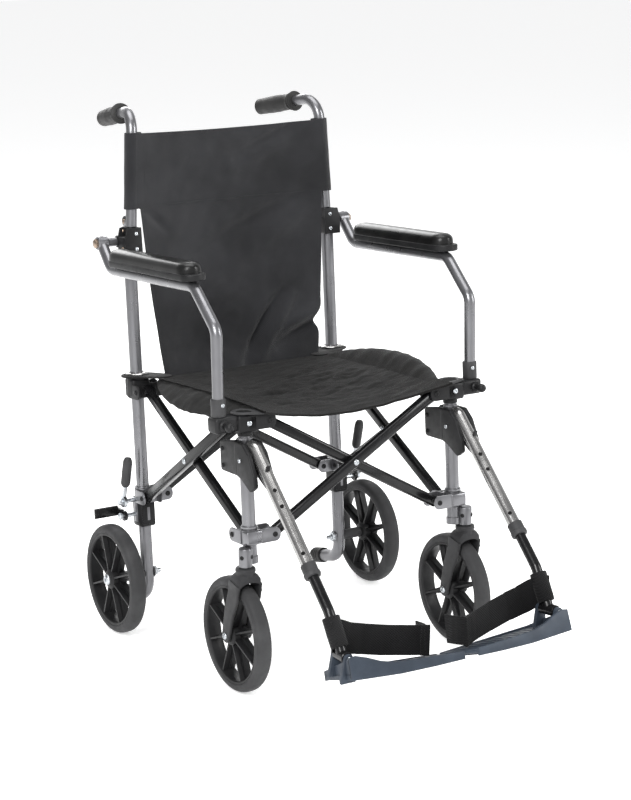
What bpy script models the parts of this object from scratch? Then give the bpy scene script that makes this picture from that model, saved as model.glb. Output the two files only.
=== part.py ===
"""Folding transport wheelchair: four small wheels, X braces on all four sides,
sling seat and back, flip-up armrests, swing-away footrests, fold-down push handles.

The frame is drawn upright in its own axes (x across, y rearward from the front legs,
z up) and then leaned back by RAKE, so the wheels stay square to the floor.
"""
import math

import bmesh
import bpy
from mathutils import Matrix, Vector

# ---------------------------------------------------------------- driving dimensions (m)
GAP = 0.0003                 # between pieces that touch
RAKE = math.radians(4.4)     # backward lean of the whole frame
FRAME_SHIFT = -0.1338        # puts the chair's box centre over the origin
FRAME_LIFT = -0.0051         # floor to the frame axes' origin
WHEEL_R = 0.0965             # front and rear wheels, 193 mm over the tread

LEG_X = 0.200                # leg and post centre lines
REAR_Y = 0.378
LEG_R, LEG_BORE = 0.0111, 0.0096
LEG_LOW, LEG_TOP = 0.2277, 0.436
POST_R, POST_TOP = 0.0111, 0.724
INNER_R = 0.0092             # sliding tube inside the front leg

PIVOT_LOW, PIVOT_TOP = 0.272, 0.460      # brace pivots, both ends
SPAN = 0.323                 # across each X, the same on all four sides
BRACE_HALF, BRACE_THICK = 0.009, 0.0150
PIN_R, PIN_HOLE = 0.0030, 0.0033
CROSS_X = SPAN / 2
SIDE_FRONT = 0.0275
SIDE_REAR = SIDE_FRONT + SPAN

HINGE_Y, HINGE_Z = 0.3905, 0.738         # back folding axis
BACK_X, BACK_Y, BACK_R = 0.196, 0.374, 0.0095
BACK_START = 0.7458          # foot of the folding tube, just above its bracket
BEND = Vector((0.186, 0.368, 0.944))     # corner of the push handle
HANDLE_END = Vector((0.160, 0.528, 0.924))
GRIP_LENGTH, GRIP_R = 0.106, 0.0145

ARM_Y, ARM_Z = 0.394, 0.720              # armrest pivot
ARM_X, ARM_R = 0.2440, 0.0095
PAD = ((0.223, 0.267), (0.046, 0.342), (0.6868, 0.7165))
LUG_TOP = 0.474

HANGER_TOP = Vector((0.198, -0.028, 0.424))
HANGER_END = Vector((0.198, -0.293, 0.136))       # sets the slope of the hanger
FOOT_PIVOT = Vector((0.197, -0.268, 0.1365))
EXTENSION_BEND = 0.305                            # along the hanger line, then steeper
HANGER_R, HANGER_BORE, HANGER_LENGTH = 0.0105, 0.0091, 0.240
EXTENSION_R, EXTENSION_START = 0.0088, 0.145
PLATE_TILT, PLATE_DROOP, PLATE_YAW = math.radians(13.0), math.radians(0.5), math.radians(10)

STEM_X, STEM_Y, TRAIL = 0.216, -0.127, 0.030     # caster swivel, in plan, and its trail
REAR_WHEEL_X = 0.262
BRAKE_X, BRAKE_PIVOT_Z, SHOE_PIVOT_Z = 0.2385, 0.266, 0.240

FRAME = Matrix.Translation((0, FRAME_SHIFT, FRAME_LIFT)) @ Matrix.Rotation(-RAKE, 4, "X")
FLAT = Matrix.Identity(4)
UPRIGHT = FRAME.inverted()
AXLE_Z = (WHEEL_R - FRAME_LIFT + REAR_Y * math.sin(RAKE)) / math.cos(RAKE)   # rear axle in frame axes
SIDES = (("right", -1), ("left", 1))

for old in list(bpy.data.objects):
    bpy.data.objects.remove(old)
chair = bpy.data.collections.new("transport_wheelchair")
bpy.context.scene.collection.children.link(chair)
bench = bpy.data.collections.new("bench")
bpy.context.scene.collection.children.link(bench)


# ---------------------------------------------------------------- materials
def material(name, color, metallic, roughness):
    mat = bpy.data.materials.new(name)
    mat.use_nodes = True
    shader = mat.node_tree.nodes["Principled BSDF"]
    shader.inputs["Base Color"].default_value = (*color, 1)
    shader.inputs["Metallic"].default_value = metallic
    shader.inputs["Roughness"].default_value = roughness
    mat.diffuse_color = (*color, 1)
    return mat


SILVER = material("silver_tube", (0.55, 0.56, 0.58), 0.9, 0.35)
STEEL = material("zinc_steel", (0.62, 0.62, 0.64), 1.0, 0.3)
BLACK_BAR = material("black_bar", (0.015, 0.015, 0.017), 0.4, 0.25)
BLACK = material("black_plastic", (0.022, 0.022, 0.024), 0.0, 0.45)
PADDING = material("moulded_pad", (0.03, 0.03, 0.032), 0.0, 0.5)
TYRE = material("tyre_rubber", (0.07, 0.07, 0.075), 0.0, 0.8)
FABRIC = material("nylon_fabric", (0.02, 0.02, 0.024), 0.0, 0.85)
PLATE = material("footplate_plastic", (0.035, 0.045, 0.06), 0.0, 0.5)


# ---------------------------------------------------------------- shapes
def on_bench(bm, name="blank"):
    bmesh.ops.recalc_face_normals(bm, faces=bm.faces)
    if bm.calc_volume(signed=True) < 0:
        bmesh.ops.reverse_faces(bm, faces=bm.faces)
    mesh = bpy.data.meshes.new(name)
    bm.to_mesh(mesh)
    bm.free()
    obj = bpy.data.objects.new(name, mesh)
    bench.objects.link(obj)
    return obj


def block(xs, ys, zs, bevel=0.0, segments=1):
    """Box between pairs of limits, given in either order."""
    bm = bmesh.new()
    bmesh.ops.create_cube(bm, size=1)
    limits = [sorted(pair) for pair in (xs, ys, zs)]
    for vert in bm.verts:
        vert.co = [lo + (hi - lo) * (c + 0.5) for (lo, hi), c in zip(limits, vert.co)]
    if bevel:
        bmesh.ops.bevel(bm, geom=bm.edges[:], offset=bevel, segments=segments,
                        profile=0.5, affect="EDGES")
    return on_bench(bm)


def rod(start, end, radius, sides=16):
    start, end = Vector(start), Vector(end)
    bm = bmesh.new()
    bmesh.ops.create_cone(bm, cap_ends=True, segments=sides, radius1=radius,
                          radius2=radius, depth=(end - start).length)
    turn = Vector((0, 0, 1)).rotation_difference(end - start).to_matrix().to_4x4()
    bm.transform(Matrix.Translation((start + end) / 2) @ turn)
    return on_bench(bm)


def slab(outline, axis, low, high):
    """Flat outline pushed along one axis; outline points skip that axis."""
    bm = bmesh.new()
    at = {"x": lambda a, b: (low, a, b), "y": lambda a, b: (a, low, b),
          "z": lambda a, b: (a, b, low)}[axis]
    face = bm.faces.new([bm.verts.new(at(a, b)) for a, b in outline])
    push = {"x": (1, 0, 0), "y": (0, 1, 0), "z": (0, 0, 1)}[axis]
    grown = bmesh.ops.extrude_face_region(bm, geom=[face])["geom"]
    bmesh.ops.translate(bm, vec=Vector(push) * (high - low),
                        verts=[g for g in grown if isinstance(g, bmesh.types.BMVert)])
    return on_bench(bm)


def turned(profile, start, direction, steps=16):
    """Closed (radius, along) profile screwed round an axis."""
    bm = bmesh.new()
    verts = [bm.verts.new((r, 0, z)) for r, z in profile]
    touches_axis = profile[0][0] == 0
    pairs = zip(verts, verts[1:] if touches_axis else verts[1:] + verts[:1])
    for a, b in pairs:
        bm.edges.new((a, b))
    mesh = bpy.data.meshes.new("turned")
    bm.to_mesh(mesh)
    bm.free()
    obj = bpy.data.objects.new("turned", mesh)
    bench.objects.link(obj)
    screw = obj.modifiers.new("turn", "SCREW")
    screw.steps = screw.render_steps = steps
    screw.use_merge_vertices = True
    screw.merge_threshold = 0.00001
    settle(obj)
    turn = Vector((0, 0, 1)).rotation_difference(Vector(direction)).to_matrix().to_4x4()
    bm = bmesh.new()
    bm.from_mesh(obj.data)
    bm.transform(Matrix.Translation(start) @ turn)
    bpy.data.objects.remove(obj)
    return on_bench(bm)


def rounded(points, radius, steps):
    """Corner points with each inner corner replaced by an arc."""
    points = [Vector(p) for p in points]
    path = [points[0]]
    for before, corner, after in zip(points, points[1:], points[2:]):
        u, v = (before - corner).normalized(), (after - corner).normalized()
        half = u.angle(v) / 2
        centre = corner + (u + v).normalized() * (radius / math.sin(half))
        first, last = corner + u * radius / math.tan(half), corner + v * radius / math.tan(half)
        a, b = first - centre, last - centre
        sweep = a.angle(b)
        for i in range(steps + 1):
            t = i / steps
            path.append(centre + (a * math.sin((1 - t) * sweep) + b * math.sin(t * sweep))
                        / math.sin(sweep))
    return path + [points[-1]]


def pipe(points, radius, bend=0.03, steps=4):
    path = rounded(points, bend, steps) if len(points) > 2 else [Vector(p) for p in points]
    curve = bpy.data.curves.new("pipe", "CURVE")
    curve.dimensions = "3D"
    curve.bevel_depth = radius
    curve.bevel_resolution = 4
    curve.use_fill_caps = True
    line = curve.splines.new("POLY")
    line.points.add(len(path) - 1)
    for point, place in zip(line.points, path):
        point.co = (*place, 1)
    obj = bpy.data.objects.new("pipe", curve)
    bench.objects.link(obj)
    mesh = bpy.data.meshes.new_from_object(obj.evaluated_get(
        bpy.context.evaluated_depsgraph_get()))
    bpy.data.objects.remove(obj)
    bm = bmesh.new()
    bm.from_mesh(mesh)
    bmesh.ops.remove_doubles(bm, verts=bm.verts, dist=0.000001)
    return on_bench(bm)


def band(stations):
    """Solid strip: each station lists its four corners in order."""
    bm = bmesh.new()
    rings = [[bm.verts.new(c) for c in corners] for corners in stations]
    for one, two in zip(rings, rings[1:]):
        for i in range(4):
            bm.faces.new((one[i], one[(i + 1) % 4], two[(i + 1) % 4], two[i]))
    bm.faces.new(rings[0])
    bm.faces.new(rings[-1])
    return on_bench(bm)


def sheet(columns, rows, place, thickness):
    """Closed skin over a grid; place(u, v) gives the point, thickness the offset."""
    bm = bmesh.new()
    offset = Vector(thickness)
    layers = [[[bm.verts.new(Vector(place(i / columns, j / rows)) + offset * side)
                for i in range(columns + 1)] for j in range(rows + 1)] for side in (0, 1)]
    for grid in layers:
        for j in range(rows):
            for i in range(columns):
                bm.faces.new((grid[j][i], grid[j][i + 1], grid[j + 1][i + 1], grid[j + 1][i]))
    low, high = layers
    rim = [(j, 0) for j in range(rows)] + [(rows, i) for i in range(columns)] \
        + [(j, columns) for j in range(rows, 0, -1)] + [(0, i) for i in range(columns, 0, -1)]
    for (a, b), (c, d) in zip(rim, rim[1:] + rim[:1]):
        bm.faces.new((low[a][b], low[c][d], high[c][d], high[a][b]))
    return on_bench(bm)


def settle(obj):
    mesh = bpy.data.meshes.new_from_object(obj.evaluated_get(
        bpy.context.evaluated_depsgraph_get()))
    obj.modifiers.clear()
    obj.data = mesh


def carve(obj, tool, operation):
    step = obj.modifiers.new("carve", "BOOLEAN")
    step.solver = "EXACT"
    step.operation = operation
    step.object = tool
    settle(obj)
    bpy.data.objects.remove(tool)


def piece(name, mat, add, cut=(), axes=FRAME, origin=None):
    """Join the added shapes, cut the rest away, lean with the frame and name it."""
    obj = add[0]
    for tool in add[1:]:
        carve(obj, tool, "UNION")
    for tool in cut:
        carve(obj, tool, "DIFFERENCE")
    mesh = obj.data
    mesh.transform(axes)
    if origin is not None:
        home = axes @ Vector(origin)
        mesh.transform(Matrix.Translation(-home))
        obj.location = home
    obj.name = mesh.name = name
    mesh.materials.clear()
    mesh.materials.append(mat)
    mesh.shade_smooth()
    mesh.set_sharp_from_angle(angle=math.radians(35))
    bench.objects.unlink(obj)
    chair.objects.link(obj)
    return obj


# ---------------------------------------------------------------- X braces and their brackets
# Each X has an outer and an inner bar. "out" counts from the leg's centre plane outwards.
OUTER, INNER = (-0.0012, -0.0012 + BRACE_THICK), (-0.0015 - BRACE_THICK, -0.0015)
OUTER_ARM, INNER_ARM = (0.0141, 0.0172), (-0.0012, 0.0022)


def plane(kind, sign):
    """Slab axis and the function from an outward distance to a coordinate."""
    if kind == "side":
        return "x", lambda out: sign * (LEG_X + out)
    if kind == "front":
        return "y", lambda out: -out
    return "y", lambda out: REAR_Y + out


def point_on(axis, along, depth, z):
    return (depth, along, z) if axis == "x" else (along, depth, z)


def stadium(low, high, half, steps=6):
    direction = math.atan2(high[1] - low[1], high[0] - low[0])
    outline = []
    for centre, start in ((high, -90), (low, 90)):
        for i in range(steps + 1):
            angle = direction + math.radians(start + 180 * i / steps)
            outline.append((centre[0] + half * math.cos(angle),
                            centre[1] + half * math.sin(angle)))
    return outline


def brace(name, kind, sign, low_at, top_at, outer):
    axis, depth = plane(kind, sign)
    near, far = (depth(d) for d in (OUTER if outer else INNER))
    low, top = (low_at, PIVOT_LOW), (top_at, PIVOT_TOP)
    middle = ((low_at + top_at) / 2, (PIVOT_LOW + PIVOT_TOP) / 2)
    add = [slab(stadium(low, top, BRACE_HALF), axis, near, far)]
    cut = []
    for along, z in (low, top, middle):
        if outer and (along, z) == middle:
            add.append(rod(point_on(axis, along, depth(OUTER[0] + 0.004), z),
                           point_on(axis, along, depth(INNER[0] + 0.001), z), PIN_R, 12))
        else:
            cut.append(rod(point_on(axis, along, depth(-0.02), z),
                           point_on(axis, along, depth(0.02), z), PIN_HOLE, 12))
    home = point_on(axis, *((low_at if outer else middle[0]), depth(0)),
                    PIVOT_LOW if outer else middle[1])
    return piece(name, BLACK_BAR, add, cut, origin=home)


def arm(kind, sign, root, pivot, z, outer):
    """Bracket arm from root to pivot with the pin that carries one brace end."""
    axis, depth = plane(kind, sign)
    layer = OUTER_ARM if outer else INNER_ARM
    near, far = depth(layer[0]), depth(layer[1])
    tip = pivot + math.copysign(0.008, pivot - root)
    limits = ((near, far), (root, tip)) if axis == "x" else ((root, tip), (near, far))
    span = OUTER if outer else INNER
    return [block(*limits, (z - 0.0125, z + 0.0125), bevel=0.0015),
            rod(point_on(axis, pivot, depth(layer[0] + 0.002), z),
                point_on(axis, pivot, depth(span[0] + 0.001), z), PIN_R, 12)]


def corner_arms(front, sign, top):
    """The two arms of one corner: one across the chair, one along it."""
    z = PIVOT_TOP if top else PIVOT_LOW
    across_outer = (sign < 0) != top      # the outer bar runs right-low to left-top
    along_outer = front == top            # the outer bar runs rear-low to front-top
    leg_y, pivot_y = (0, SIDE_FRONT) if front else (REAR_Y, SIDE_REAR)
    return (arm("front" if front else "rear", sign, sign * LEG_X, sign * CROSS_X, z,
                across_outer)
            + arm("side", sign, leg_y, pivot_y, z, along_outer))


for kind in ("front", "rear"):
    brace(f"{kind}_brace_outer", kind, 1, -CROSS_X, CROSS_X, True)
    brace(f"{kind}_brace_inner", kind, 1, CROSS_X, -CROSS_X, False)
for side, s in SIDES:
    brace(f"{side}_brace_outer", "side", s, SIDE_REAR, SIDE_FRONT, True)
    brace(f"{side}_brace_inner", "side", s, SIDE_FRONT, SIDE_REAR, False)

# ---------------------------------------------------------------- legs, posts, brackets
def floor_point(x, y, z):
    return UPRIGHT @ Vector((x, y, z))


for side, s in SIDES:
    x = s * LEG_X
    stem = s * STEM_X
    housing_low = WHEEL_R * 2 + 0.0278
    piece(f"front_leg_{side}", SILVER,
          [rod((x, 0, LEG_LOW), (x, 0, LEG_TOP), LEG_R),
           rod((x, 0, PIVOT_LOW - 0.014), (x, 0, PIVOT_LOW + 0.014), 0.0150),
           rod(floor_point(stem, STEM_Y, housing_low),
               floor_point(stem, STEM_Y, housing_low + 0.032), 0.0110),
           *corner_arms(True, s, False)],
          [rod((x, 0, LEG_LOW + 0.004), (x, 0, LEG_TOP + 0.01), LEG_BORE),
           rod(floor_point(stem, STEM_Y, housing_low - 0.01),
               floor_point(stem, STEM_Y, housing_low + 0.0265), 0.0053)],
          origin=(x, SIDE_FRONT, PIVOT_LOW))

    piece(f"rear_post_{side}", SILVER,
          [pipe([(x, REAR_Y, POST_TOP), (x, REAR_Y, 0.092), (x, REAR_Y + 0.087, 0.076)],
                POST_R, 0.034),
           block((x - 0.0145, x + 0.0145), (REAR_Y - 0.0155, REAR_Y + 0.0155),
                 (0.218, PIVOT_LOW + 0.014), bevel=0.003),
           rod((s * 0.186, REAR_Y, AXLE_Z), (s * (REAR_WHEEL_X + 0.018), REAR_Y, AXLE_Z),
               0.0055),
           rod((s * 0.178, REAR_Y, AXLE_Z), (s * 0.192, REAR_Y, AXLE_Z), 0.0085, 6),
           rod((s * 0.205, REAR_Y, AXLE_Z), (s * (REAR_WHEEL_X - 0.0160), REAR_Y, AXLE_Z),
               0.0085),
           rod((s * (REAR_WHEEL_X + 0.0160), REAR_Y, AXLE_Z),
               (s * (REAR_WHEEL_X + 0.0215), REAR_Y, AXLE_Z), 0.0100),
           rod((x, REAR_Y, BRAKE_PIVOT_Z), (s * 0.2455, REAR_Y, BRAKE_PIVOT_Z), 0.0040, 12),
           rod((x, REAR_Y, SHOE_PIVOT_Z), (s * 0.2460, REAR_Y, SHOE_PIVOT_Z), 0.0040, 12),
           *corner_arms(False, s, False)])

    piece(f"upper_front_bracket_{side}", BLACK,
          [block((s * 0.1830, s * 0.2170), (-0.0165, 0.0165), (0.4445, LUG_TOP), bevel=0.003),
           block((s * 0.2120, s * 0.2580), (-0.0120, 0.0180), (0.4480, LUG_TOP), bevel=0.003),
           *corner_arms(True, s, True)],
          [rod((x, 0, 0.43), (x, 0, 0.49), INNER_R + GAP),
           rod((s * ARM_X, -0.03, 0.461), (s * ARM_X, 0.0015, 0.461), 0.0045, 12)],
          origin=(x, SIDE_FRONT, PIVOT_TOP))
    piece(f"sliding_tube_{side}", SILVER,
          [rod((x, 0, LEG_LOW + 0.006), (x, 0, LUG_TOP), INNER_R)])

    piece(f"upper_rear_bracket_{side}", BLACK,
          [rod((x, REAR_Y, 0.4470), (x, REAR_Y, 0.5000), 0.0172),
           *corner_arms(False, s, True)],
          [rod((x, REAR_Y, 0.43), (x, REAR_Y, 0.52), POST_R + GAP)],
          origin=(s * CROSS_X, REAR_Y, PIVOT_TOP))

# ---------------------------------------------------------------- back hinge, push handles
for side, s in SIDES:
    x, bx = s * LEG_X, s * BACK_X
    piece(f"back_hinge_bracket_{side}", BLACK,
          [block((s * 0.1840, s * 0.2160), (0.3580, 0.3890), (0.6980, 0.7447), bevel=0.003),
           rod((bx - 0.0095, HINGE_Y, HINGE_Z), (bx + 0.0095, HINGE_Y, HINGE_Z), 0.0066),
           rod((s * 0.2068, ARM_Y, ARM_Z), (s * 0.2165, ARM_Y, ARM_Z), 0.0100)],
          [rod((x, REAR_Y, 0.68), (x, REAR_Y, POST_TOP + GAP), POST_R + GAP),
           rod((bx - 0.0052, HINGE_Y, HINGE_Z), (bx + 0.0052, HINGE_Y, HINGE_Z), 0.0074),
           block((bx - 0.0052, bx + 0.0052), (HINGE_Y - 0.0074, HINGE_Y + 0.02),
                 (HINGE_Z, 0.76)),
           rod((s * 0.2130, ARM_Y, ARM_Z), (s * 0.23, ARM_Y, ARM_Z), 0.0053)])

    corner, end = Vector((s * BEND.x, *BEND.yz)), Vector((s * HANDLE_END.x, *HANDLE_END.yz))
    run = (end - corner).normalized()
    piece(f"upper_back_tube_{side}", SILVER,
          [pipe([(bx, BACK_Y, BACK_START), corner, end], BACK_R, 0.034, 6),
           rod((bx - 0.0048, HINGE_Y, HINGE_Z), (bx + 0.0048, HINGE_Y, HINGE_Z), 0.0066),
           block((bx - 0.0048, bx + 0.0048), (BACK_Y + 0.004, HINGE_Y + 0.0060),
                 (HINGE_Z + 0.0075, HINGE_Z + 0.0180)),
           block((bx - 0.0048, bx + 0.0048), (HINGE_Y - 0.0060, HINGE_Y + 0.0060),
                 (HINGE_Z, HINGE_Z + 0.0170))],
          origin=(bx, HINGE_Y, HINGE_Z))
    grip_start = end - run * (GRIP_LENGTH - 0.004)
    inner, outer = BACK_R + GAP, GRIP_R
    piece(f"push_grip_{side}", BLACK,
          [turned([(0, GRIP_LENGTH), (outer - 0.003, GRIP_LENGTH), (outer, GRIP_LENGTH - 0.003),
                   (outer, 0.009), (0.0185, 0.005), (0.0185, 0), (inner, 0),
                   (inner, GRIP_LENGTH - 0.0035), (0, GRIP_LENGTH - 0.0035)],
                  grip_start, run)])

# ---------------------------------------------------------------- armrests
for side, s in SIDES:
    ax = s * ARM_X
    piece(f"armrest_pivot_{side}", STEEL,
          [rod((s * 0.2134, ARM_Y, ARM_Z), (s * 0.2180, ARM_Y, ARM_Z), 0.0050),
           rod((s * 0.2168, ARM_Y, ARM_Z), (s * 0.2335, ARM_Y, ARM_Z), 0.0075),
           rod((s * 0.2320, ARM_Y, ARM_Z), (s * 0.2550, ARM_Y, ARM_Z), 0.0050),
           rod((s * 0.2542, ARM_Y, ARM_Z), (s * 0.2580, ARM_Y, ARM_Z), 0.0085)],
          origin=(s * 0.2168, ARM_Y, ARM_Z))
    piece(f"armrest_tube_{side}", SILVER,
          [pipe([(ax, ARM_Y + 0.006, ARM_Z + 0.006), (s * 0.2450, 0.358, 0.6770),
                 (s * 0.2450, 0.062, 0.6770), (ax, -0.003, 0.6130), (ax, 0.003, LUG_TOP + 0.01)],
                ARM_R, 0.026),
           rod((s * 0.2340, ARM_Y, ARM_Z), (s * 0.2538, ARM_Y, ARM_Z), 0.0112),
           rod((ax, 0.003, LUG_TOP + 0.0005), (ax, 0.003, 0.5030), 0.0118)],
          [rod((s * 0.2300, ARM_Y, ARM_Z), (s * 0.2560, ARM_Y, ARM_Z), 0.0053)],
          origin=(ax, ARM_Y, ARM_Z))
    (px0, px1), pad_y, pad_z = PAD
    piece(f"armrest_pad_{side}", PADDING,
          [block((s * px0, s * px1), pad_y, pad_z, bevel=0.009, segments=3)])
    knob_y = -0.0300
    piece(f"lock_knob_{side}", BLACK,
          [turned([(0, 0.0065), (0.0046, 0.0046), (0.0065, 0), (0.0056, -0.0034),
                   (0.0040, -0.0055), (0.0040, -0.0300), (0, -0.0300)],
                  (ax, knob_y, 0.461), (0, -1, 0))])

# ---------------------------------------------------------------- footrests
down = (HANGER_END - HANGER_TOP).normalized()


def along_hanger(s, distance):
    point = HANGER_TOP + down * distance
    return Vector((s * point.x, *point.yz))


for side, s in SIDES:
    x = s * LEG_X
    fx, fy, fz = s * FOOT_PIVOT.x, FOOT_PIVOT.y, FOOT_PIVOT.z
    low, high = 0.3755, 0.4280
    bush_in, bush_out = LEG_R + GAP, 0.0132
    piece(f"footrest_bush_{side}", BLACK,
          [turned([(bush_out, high), (bush_out, low), (bush_in, low), (bush_in, high)],
                  (x, 0, 0), (0, 0, 1))])
    piece(f"footrest_housing_{side}", BLACK,
          [rod((x, 0, low), (x, 0, high), 0.0190),
           block((x - 0.0115, x + 0.0115), (0.008, 0.0500), (low + 0.002, high - 0.006),
                 bevel=0.003),
           block((x - 0.0120, x + 0.0120), (-0.0320, -0.008), (low - 0.016, high), bevel=0.003),
           rod(along_hanger(s, -0.010), along_hanger(s, 0.034), 0.0142)],
          [rod((x, 0, low - 0.03), (x, 0, high + 0.02), bush_out + GAP),
           rod(along_hanger(s, -GAP), along_hanger(s, 0.08), HANGER_R + GAP)],
          origin=(x, 0, high))
    piece(f"hanger_tube_{side}", SILVER,
          [rod(along_hanger(s, 0), along_hanger(s, HANGER_LENGTH), HANGER_R),
           rod(along_hanger(s, HANGER_LENGTH - 0.019), along_hanger(s, HANGER_LENGTH + 0.004),
               0.0128)],
          [rod((x, 0, low - 0.03), (x, 0, high + 0.02), bush_out + GAP),
           rod(along_hanger(s, 0.060), along_hanger(s, HANGER_LENGTH + 0.02), HANGER_BORE)])
    pivot = Vector((fx, fy, fz))
    bend = along_hanger(s, EXTENSION_BEND)
    pin_line = Matrix.Rotation(s * PLATE_YAW, 3, "Z") @ Vector((0, 1, 0))
    piece(f"extension_tube_{side}", BLACK_BAR,
          [pipe([along_hanger(s, EXTENSION_START), bend, pivot], EXTENSION_R, 0.030),
           rod(pivot - pin_line * 0.0167, pivot + pin_line * 0.0167, 0.0096)],
          [rod(pivot - pin_line * 0.03, pivot + pin_line * 0.03, PIN_HOLE, 12)])

    turn = (Matrix.Translation(pivot) @ Matrix.Rotation(s * PLATE_YAW, 4, "Z")
            @ Matrix.Translation((-fx, 0, 0)))
    tread = block((s * 0.0080, s * 0.2070), (-0.045, 0.055), (-0.0365, -0.0295), bevel=0.0025)
    carve(tread, slab([(s * 0.2065, -0.0065), (s * 0.1745, -0.0095), (s * 0.1365, -0.0240),
                       (s * 0.0085, -0.0280), (s * 0.0085, -0.0385), (s * 0.1200, -0.0435),
                       (s * 0.2065, -0.0415)], "y", -0.0455, -0.0405), "UNION")
    hinge_line = Vector((s * 0.2000, 0.007, -0.0330))
    tread.data.transform(turn @ Matrix.Translation(hinge_line)
                         @ Matrix.Rotation(-PLATE_TILT, 4, "X")
                         @ Matrix.Rotation(-s * PLATE_DROOP, 4, "Y")
                         @ Matrix.Translation(-hinge_line))
    ears = []
    for near in (-0.0245, 0.0170):
        ears += [block((fx - 0.0065, fx + 0.0065), (near, near + 0.0075), (-0.0380, 0)),
                 rod((fx, near, 0), (fx, near + 0.0075, 0), 0.0065)]
    ears.append(rod((fx, -0.0210, 0), (fx, 0.0190, 0), PIN_R, 12))
    for ear in ears:
        ear.data.transform(turn)
    piece(f"footplate_{side}", PLATE, [tread, *ears], origin=(fx, fy, fz))

    run = (pivot - bend).normalized()
    wrap = bend + run * 0.0350
    strap = [(0.188, -0.246, 0.1620), (0.166, -0.238, 0.1520), (0.140, -0.234, 0.144),
             (0.100, -0.238, 0.137), (0.064, -0.250, 0.131), (0.036, -0.264, 0.127)]
    stations = []
    for sx, sy, sz in strap:
        stations.append([(s * sx, sy - 0.003, sz - 0.015), (s * sx, sy + 0.003, sz - 0.015),
                         (s * sx, sy + 0.003, sz + 0.015), (s * sx, sy - 0.003, sz + 0.015)])
    stations.insert(0, [(s * 0.198, -0.259, 0.1490), (s * 0.203, -0.252, 0.1490),
                        (s * 0.203, -0.252, 0.1770), (s * 0.198, -0.259, 0.1770)])
    piece(f"heel_loop_{side}", FABRIC,
          [rod(wrap - run * 0.019, wrap + run * 0.019, 0.0122), band(stations)],
          [rod(wrap - run * 0.034, wrap + run * 0.06, EXTENSION_R + GAP)])

# ---------------------------------------------------------------- wheels
TYRE_SECTION = [(0.0820, -0.0105), (0.0880, -0.0140), (WHEEL_R, -0.0060),
                (WHEEL_R, 0.0060), (0.0880, 0.0140), (0.0820, 0.0105)]


def wheel(name, centre, bore):
    """Tyre and spoked hub on a level axle, drawn square to the floor."""
    centre = Vector(centre)
    piece(f"{name}_tyre", TYRE, [turned(TYRE_SECTION, centre, (1, 0, 0), 32)],
          axes=FLAT, origin=centre)
    rim = turned([(0.0742, -0.0095), (0.0807, -0.0095), (0.0807, 0.0095), (0.0742, 0.0095)],
                 centre, (1, 0, 0), 24)
    core = rod(centre - Vector((0.0155, 0, 0)), centre + Vector((0.0155, 0, 0)), 0.0155)
    spokes = []
    for i in range(8):
        spoke = block((-0.0095, 0.0095), (-0.0022, 0.0022), (0.0130, 0.0765))
        spoke.data.transform(Matrix.Translation(centre)
                             @ Matrix.Rotation(math.radians(45 * i + 22.5), 4, "X"))
        spokes.append(spoke)
    piece(f"{name}_hub", BLACK, [core, *spokes, rim],
          [rod(centre - Vector((0.03, 0, 0)), centre + Vector((0.03, 0, 0)), bore)],
          axes=FLAT, origin=centre)


for side, s in SIDES:
    wheel(f"rear_wheel_{side}", FRAME @ Vector((s * REAR_WHEEL_X, REAR_Y, AXLE_Z)), 0.0058)
    stem, centre_y = s * STEM_X, STEM_Y + TRAIL
    wheel(f"front_wheel_{side}", (stem, centre_y, WHEEL_R), 0.0043)
    crown_low, crown_top = 2 * WHEEL_R + 0.0045, 2 * WHEEL_R + 0.0275
    blades = []
    for inner, outer in ((0.0168, 0.0214), (-0.0214, -0.0168)):
        outline = [(STEM_Y - 0.0150, crown_low + 0.004), (STEM_Y - 0.0110, crown_top),
                   (STEM_Y + 0.0130, crown_top), (STEM_Y + 0.0180, crown_low)]
        for i in range(7):
            angle = math.radians(15 - 30 * i)
            outline.append((centre_y + 0.0110 * math.cos(angle),
                            WHEEL_R + 0.0110 * math.sin(angle)))
        blades.append(slab(outline, "x", stem + inner, stem + outer))
    piece(f"caster_fork_{side}", BLACK,
          [block((stem - 0.0214, stem + 0.0214), (STEM_Y - 0.0145, STEM_Y + 0.0160),
                 (crown_low, crown_top), bevel=0.002), *blades,
           rod((stem, STEM_Y, crown_top - 0.002), (stem, STEM_Y, crown_top + 0.0245), 0.0050),
           rod((stem - 0.0240, centre_y, WHEEL_R), (stem + 0.0240, centre_y, WHEEL_R),
               0.0040, 12),
           *[rod((stem + a, centre_y, WHEEL_R), (stem + b, centre_y, WHEEL_R), 0.0070)
             for a, b in ((0.0208, 0.0240), (-0.0240, -0.0208))]],
          axes=FLAT, origin=(stem, STEM_Y, crown_top))

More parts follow.
